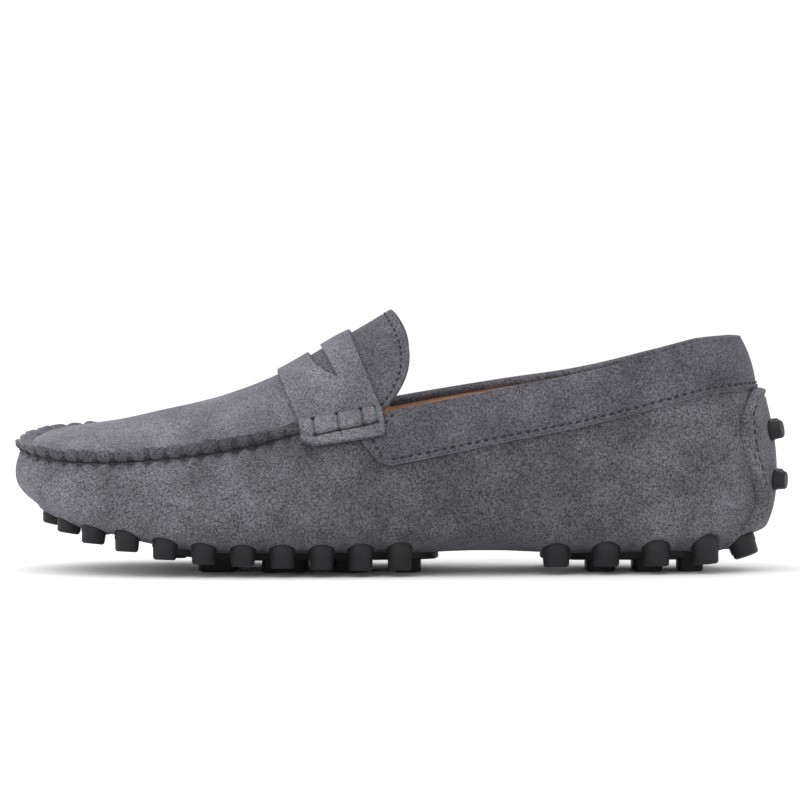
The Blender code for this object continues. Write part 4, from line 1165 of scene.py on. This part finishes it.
def make_tab(suede, lining, thread):
    """The heel tab, its edge folded into a ridge, with stitches beside it and dark lines of painted
    shadow along its outer edges.
    """
    heights = np.linspace(TAB[0].height, TAB_FOOT, 100)
    shares = np.linspace(-1.0, 1.0, 81)
    half = tab_half(heights)
    for _ in range(6):
        half[1:-1] = (half[:-2] + 2 * half[1:-1] + half[2:]) / 4
    u = heel_share(half[:, None] * shares[None, :])
    v = shell_row(u, heights[:, None] * COLLAR_HEIGHT)
    low = 3 * CLEARANCE + PLATE_THICKNESS
    base, normal = shell(u, v, low), shell_normal(u, v)
    side_away = (1 - np.abs(shares))[None, :] * half[:, None]
    top_away = (heights[0] - heights)[:, None] * COLLAR_HEIGHT
    away = np.minimum(side_away, top_away + 0.0006)
    tuck = smooth((heights - heights[-1]) * COLLAR_HEIGHT / TAB_TUCK)[:, None]
    relief = TAB_THICKNESS + TAB_RIDGE * bell(away - 0.0015, 0.0009)
    relief = relief - TAB_LINE * bell(away - TAB_LINE_IN, 0.0005)
    relief = relief - TAB_FALL * (1 - smooth(away / 0.0010))
    relief = relief + 0.0003 * noise_at(base, 60.0, 4.4)
    relief = relief * tuck - (low - CLEARANCE) * (1 - tuck)
    outer = base + normal * relief[..., None]
    tucked = np.maximum(smooth(1 - away / 0.0020), 1 - tuck)[..., None] * (low - CLEARANCE / 2)
    inner, surfaces = base - normal * tucked, [suede, lining, suede]
    sheet_piece("heel_tab_suede", outer, inner, surfaces, nodes=["heel_tab"], round_by=0.5)
    rows = []
    for side in (-1, 1):
        path = []
        for i in range(4, len(heights) - 4):
            share = side * (1 - TAB_LINE_IN / half[i])
            j = (share + 1) / 2 * (len(shares) - 1)
            path.append((sample(outer, i, j), sample(normal, i, j)))
        rows += row_of_stitches(path, TAB_THREAD)
    # Two dark thread lines sunk along the tab's outer edges: painted shadow where the edge falls
    # away.
    sunk = (outer - normal * 0.0013)[2:-8]
    threads("heel_tab_stitches_and_shadow_lines", rows + [sunk[:, 0], sunk[:, -1]], TAB_THREAD.radius, thread)


def revolve(profile, base, axis, sides=28):
    """Points and faces of a turned form along an axis; the profile is radius and place along it."""
    across = (0.0, 1.0, 0.0) if abs(axis[1]) < 0.9 else (1.0, 0.0, 0.0)
    side = unit(np.cross(axis, across))
    across = np.cross(axis, side)
    turn = np.arange(sides) * 2 * math.pi / sides
    ring = np.cos(turn)[:, None] * side + np.sin(turn)[:, None] * across
    points = np.concatenate([base + axis * place + ring * radius for radius, place in profile])
    return points, tube_faces(len(profile), sides)


def stud_profile(radius, root, length):
    """A moulded stud: a slight collar at its root, straight sides, a rounded foot."""
    return (
        (radius * 0.90, -root),
        (radius + STUD_TAPER, -root * 0.2),
        (radius + STUD_TAPER, length * 0.30),
        (radius + STUD_TAPER * 0.3, length * 0.36),
        (radius - STUD_TAPER * 0.3, length - 0.0007),
        (radius - STUD_TAPER - 0.0001, length - 0.0002),
        (radius - STUD_TAPER - 0.0005, length),
        (radius * 0.45, length),
        (radius * 0.40, length - 0.0003),
    )


def joined(parts):
    """Several point and face lists as one."""
    points, faces, start = [], [], 0
    for some, rings in parts:
        points.append(np.asarray(some))
        faces += [[index + start for index in face] for face in rings]
        start += len(some)
    return np.concatenate(points), faces


def bottom_tree():
    """The bottom's outer surface, finely divided, to find heights on."""
    rows, columns = 40, 240
    u, v = np.meshgrid(np.arange(columns) / columns, 0.96 * (np.arange(rows + 1) / rows) ** 2)
    points = shell_point(u, v).reshape(-1, 3)
    return BVHTree.FromPolygons(points.tolist(), grid_faces(rows + 1, columns, True).tolist())


def bottom_height(tree, x, y):
    """Height of the shoe's bottom over a place on the floor."""
    hit = tree.ray_cast(Vector((x, y + 1e-5, -SOLE_CLEARANCE)), Vector((0, 0, 1)))[0]
    return hit.z if hit else SOLE_CLEARANCE


def rounded_plan(half_long, half_wide, power, count):
    """A rounded rectangle's points round its middle."""
    turn = np.arange(count) * 2 * math.pi / count
    c, s = np.cos(turn), np.sin(turn)
    x = half_long * np.sign(c) * np.abs(c) ** (2 / power)
    y = half_wide * np.sign(s) * np.abs(s) ** (2 / power)
    return np.stack((x, y), axis=1)


def pad_form(sole, tree):
    """The moulded strip under the foot, its lower edge rounded."""
    middle = np.array((HEEL_X - sole.pad_mid * UPPER_LENGTH, SPINE_SWING * sole.pad_mid))
    half_long, half_wide = sole.pad_half_long * UPPER_LENGTH, sole.pad_half_wide * BALL_WIDTH
    plan = rounded_plan(half_long, half_wide, 3.6, 120)
    levels = [(share, PAD_PROUD) for share in (0.02, 0.5, 0.985)] + [(1.0, PAD_PROUD - 0.0004)]
    levels += [(1.0, -0.0012), (0.5, -0.0016), (0.02, -0.0016)]
    points = []
    for share, drop in levels:
        for x, y in middle + plan * share:
            points.append((x, y, bottom_height(tree, x, y) - drop))
    return points, tube_faces(len(levels), len(plan))


def lug_form(lug):
    """A flat-footed lug with rounded corners and a softened foot."""
    middle = np.array((HEEL_X - lug.mid * UPPER_LENGTH, SPINE_SWING * lug.mid))
    level = float(keel(middle[0]))
    lift = max(0.0, LUG_LIFT * (level - SOLE_CLEARANCE - ARCH_LIFT / 4))
    long, wide = lug.half_long * UPPER_LENGTH, lug.half_wide * BALL_WIDTH
    levels = [(0.0, level + 0.001), (0.0, lift + 0.0008), (0.0002, lift + 0.0002)]
    levels += [(0.0006, lift), (0.0022, lift), (0.0026, lift + 0.0004)]
    points, sides = [], 48
    for inset, height in levels:
        plan = middle + rounded_plan(long - inset, wide - inset, 7.0, sides)
        points += [(x, y, height) for x, y in plan]
    return points, tube_faces(len(levels), sides)


def rubber_piece(name, node, parts, rubber):
    """Several turned and moulded forms as one rubber piece."""
    points, faces = joined(parts)
    piece(name, points, faces, [rubber], slot="rubber", nodes=[node], angle=35)


def make_soles(rubber):
    """Ring studs, pads and lugs of the two soles."""
    tree = bottom_tree()
    soles = (("forefoot_sole", FOREFOOT, FOREFOOT_LUGS), ("heel_sole", HEEL, HEEL_LUGS))
    for name, sole, lugs in soles:
        parts = [pad_form(sole, tree)] + [lug_form(lug) for lug in lugs]
        for owner, base, axis, length in RING_STUDS:
            if owner is sole:
                parts.append(revolve(stud_profile(sole.radius, 0.0030, length), base, axis))
        rubber_piece(name + "_rubber", name, parts, rubber)


def make_back_studs(rubber):
    """The four round studs behind the heel, on their plate."""
    radius, high = BACK_STUD_RADIUS, BACK_BUILD
    length = high + BACK_STUD_LENGTH
    profile = (
        (radius * 0.8, high * 0.2),
        (radius + STUD_TAPER, high * 0.7),
        (radius + STUD_TAPER, high + 0.0009),
        (radius + 0.0001, high + 0.0012),
        (radius - 0.0001, length - 0.0006),
        (radius - 0.0004, length - 0.0001),
        (radius - 0.0008, length),
        (radius * 0.4, length),
    )
    parts = []
    for height in BACK_STUD_HEIGHTS:
        for side in (-BACK_STUD_SIDE, BACK_STUD_SIDE):
            u = heel_share(side * BALL_WIDTH)
            v = shell_row(u, height * COLLAR_HEIGHT)
            parts.append(revolve(profile, shell(u, v), shell_normal(u, v), 32))
    rubber_piece("heel_back_studs_rubber", "heel_back_studs", parts, rubber)


def make_insole(sock, edge):
    """The sock over the insole board."""
    shares = np.arange(240) / 240
    u, v = np.meshgrid(shares, np.linspace(0.0, 0.66, 24))
    sunk = VAMP_WALL + 2 * CLEARANCE + PLATE_THICKNESS
    low = shell(u, v, -sunk)
    thick = INSOLE_THICKNESS * (1 - 0.55 * smooth((v - 0.5) / 0.16))
    high = shell(u, v, -(sunk + thick + 0.0003 * noise_at(low, 30.0, 8.2)))
    more = {"slot": "sock", "nodes": ["insole"], "weld": 1e-6}
    sheet_piece("insole_sock", high, low, [sock, sock, edge], closed=True, **more)


class Surface:
    """A material and its node tools; textures lie on the object's own coordinates."""

    def __init__(self, name, colour, roughness, **values):
        self.made = bpy.data.materials.new(name)
        self.made.use_nodes = True
        self.tree = self.made.node_tree
        self.shader = self.tree.nodes["Principled BSDF"]
        self.put(self.shader, Base_Color=(*colour, 1.0), Roughness=roughness, **values)

    def put(self, node, **values):
        """Set a node's inputs; an underscore in a name stands for a space."""
        for name, value in values.items():
            node.inputs[name.replace("_", " ")].default_value = value

    def link(self, source, node, name):
        """Link an output to a node's input."""
        self.tree.links.new(source, node.inputs[name])

    def node(self, kind, name, source, **values):
        """A new node with its main input linked and others set."""
        made = self.tree.nodes.new("ShaderNode" + kind)
        self.put(made, **values)
        self.link(source, made, name)
        return made

    def place(self):
        """The object's own coordinates."""
        return self.tree.nodes.new("ShaderNodeTexCoord").outputs["Object"]

    def noise(self, scale, detail, roughness=0.5):
        """A noise texture's factor."""
        values = {"Scale": scale, "Detail": detail, "Roughness": roughness}
        return self.node("TexNoise", "Vector", self.place(), **values).outputs["Fac"]

    def ramp(self, factor, *stops):
        """A colour ramp over a factor; each stop is a place and a colour or a grey."""
        made = self.node("ValToRGB", "Fac", factor)
        elements = made.color_ramp.elements
        while len(elements) < len(stops):
            elements.new(0.5)
        for element, (place, colour) in zip(elements, stops):
            element.position = place
            element.color = (*(colour if isinstance(colour, tuple) else (colour,) * 3), 1.0)
        return made.outputs["Color"]

    def times(self, first, second):
        """Two colours multiplied."""
        made = self.tree.nodes.new("ShaderNodeMix")
        made.data_type, made.blend_type = "RGBA", "MULTIPLY"
        self.put(made, Factor=1.0)
        self.link(first, made, 6)
        self.link(second, made, 7)
        return made.outputs[2]

    def bump(self, height, strength, distance, under=None):
        """Bump from a height, over another bump's directions if given."""
        made = self.node("Bump", "Height", height, Strength=strength, Distance=distance)
        if under:
            self.link(under, made, "Normal")
        return made.outputs["Normal"]

    def finish(self, colour, normal):
        """Link colour and normal to the shader and return the material."""
        self.link(colour, self.shader, "Base Color")
        self.link(normal, self.shader, "Normal")
        return self.made


def shade(colour, by):
    """A colour made lighter or darker."""
    return tuple(min(1.0, part * by) for part in colour)


def suede_surface(name, colour, contrast=1.0, light_and_shade=()):
    """Napped suede: brushed patches, a fine fleck, a soft bump and painted light and shade along
    the shoe.
    """
    made = Surface(name, colour, 0.92, Specular_IOR_Level=0.12, Sheen_Weight=0.14)
    made.put(made.shader, Sheen_Roughness=0.45, Sheen_Tint=(0.72, 0.72, 0.80, 1.0))
    spread, fleck = PATCH_SPREAD * contrast, FLECK_SPREAD * contrast
    patches, swirl = made.noise(52.0, 3.0, 0.55), made.noise(170.0, 4.0, 0.65)
    large = made.ramp(patches, (0.32, shade(colour, 1 - spread)), (0.68, shade(colour, 1 + spread)))
    middle = made.ramp(swirl, (0.36, 1 - spread * 0.4), (0.64, 1 + spread * 0.4))
    fine = made.ramp(made.noise(1500.0, 2.0, 0.7), (0.37, 1 - fleck), (0.63, 1 + fleck))
    mixed = made.times(made.times(large, middle), fine)
    # Painted light and shade: the colour is multiplied by a tone that changes from toe to heel.
    if light_and_shade:
        x = made.node("SeparateXYZ", "Vector", made.place()).outputs["X"]
        share = made.node("MapRange", "Value", x, From_Min=TOE_X, From_Max=HEEL_X)
        mixed = made.times(mixed, made.ramp(share.outputs["Result"], *light_and_shade))
    coarse = made.bump(swirl, 0.30, 0.0008)
    return made.finish(mixed, made.bump(made.noise(900.0, 3.0, 0.7), 0.75, 0.0006, coarse))


def leather_surface(name, colour):
    """Smooth lining leather with a small grain."""
    made = Surface(name, colour, 0.62)
    patches = made.noise(60.0, 4.0, 0.6)
    tone = made.ramp(patches, (0.3, shade(colour, 0.82)), (0.7, shade(colour, 1.12)))
    grain = made.node("TexVoronoi", "Vector", made.place(), Scale=900.0)
    return made.finish(tone, made.bump(grain.outputs["Distance"], 0.25, 0.0003))


def rubber_surface(name, colour):
    """Moulded rubber with a fine matt texture and dusty wear."""
    made = Surface(name, colour, 0.55, Specular_IOR_Level=0.28)
    dust = made.noise(220.0, 5.0, 0.65)
    tone = made.ramp(dust, (0.35, shade(colour, 0.80)), (0.72, shade(colour, 1.30)))
    rough = made.node("MapRange", "Value", dust, To_Min=0.42, To_Max=0.66)
    made.link(rough.outputs["Result"], made.shader, "Roughness")
    return made.finish(tone, made.bump(made.noise(1400.0, 2.0), 0.25, 0.0003))


def thread_surface(name, colour):
    """Waxed thread with a twist."""
    made = Surface(name, colour, 0.6)
    twist = made.noise(2600.0, 2.0)
    tone = made.ramp(twist, (0.35, shade(colour, 0.7)), (0.7, shade(colour, 1.5)))
    return made.finish(tone, made.bump(twist, 0.4, 0.0002))


def add(made, place, target=None):
    """Put an object into the scene, and aim it if it has a target."""
    made.location = place
    if target:
        aim = Vector(target) - Vector(place)
        made.rotation_euler = aim.to_track_quat("-Z", "Y").to_euler()
    bpy.context.scene.collection.objects.link(made)


def area_light(name, place, target, size, power):
    """A soft square light aimed at a point."""
    light = bpy.data.lights.new(name, "AREA")
    light.size, light.energy = size, power
    add(bpy.data.objects.new(name, light), place, target)


def make_stage():
    """Pale floor, soft lights and the camera at the photograph's angle."""
    floor = bpy.data.meshes.new("floor")
    turns = ((-1, -1), (1, -1), (1, 1), (-1, 1))
    floor.from_pydata([(x * FLOOR_REACH, y * FLOOR_REACH, 0) for x, y in turns], [], [(0, 1, 2, 3)])
    floor.materials.append(Surface("floor_pale", FLOOR_COLOUR, 0.8, Specular_IOR_Level=0.1).made)
    ground = bpy.data.objects.new("floor", floor)
    add(ground, (0, 0, 0))
    world = bpy.data.worlds.new("studio")
    world.use_nodes = True
    background = world.node_tree.nodes["Background"]
    background.inputs["Color"].default_value = (1.0, 1.0, 1.0, 1.0)
    background.inputs["Strength"].default_value = WORLD_STRENGTH
    bpy.context.scene.world = world
    for light in LIGHTS:
        area_light(*light)
    camera = bpy.data.cameras.new("camera")
    camera.sensor_width = SENSOR_WIDTH
    camera.lens = SENSOR_WIDTH * CAMERA_DISTANCE / FRAME_WIDTH
    camera.clip_start = 0.05
    made = bpy.data.objects.new("camera", camera)
    tilt, target = math.radians(CAMERA_ELEVATION), Vector(CAMERA_TARGET)
    place = target + Vector((0, -math.cos(tilt), math.sin(tilt))) * CAMERA_DISTANCE
    add(made, place, target)
    bpy.context.scene.camera = made


def main():
    """Dress the frame."""
    bpy.context.scene.view_settings.view_transform = "Standard"
    suede = suede_surface("suede_body", SUEDE, light_and_shade=BODY_LIGHT_AND_SHADE)
    light = suede_surface("suede_apron", SUEDE_LIGHT, 0.8, APRON_LIGHT_AND_SHADE)
    dark = suede_surface("suede_tongue", SUEDE_DARK, 0.8)
    band = suede_surface("suede_collar", SUEDE_BAND, 0.9)
    raw = suede_surface("suede_raw_edge", SUEDE_RAW, 0.8)
    ridge = suede_surface("suede_seam", SUEDE_RIDGE, 0.9, BODY_LIGHT_AND_SHADE)
    crest_edge = suede_surface("suede_seam_edge", SUEDE_CREST, 0.8)
    lining = leather_surface("lining_leather", SOCK)
    rubber = rubber_surface("sole_rubber", RUBBER)
    thread = thread_surface("waxed_thread", THREAD)
    make_vamp(suede, lining, raw)
    make_apron(light, raw)
    make_seam(ridge, crest_edge, thread)
    make_strap(light, dark, thread)
    make_tongue(dark, raw, thread)
    make_band(band, lining, raw, thread)
    make_tab(suede, lining, thread)
    make_back_studs(rubber)
    make_soles(rubber)
    make_insole(lining, raw)
    make_stage()


main()
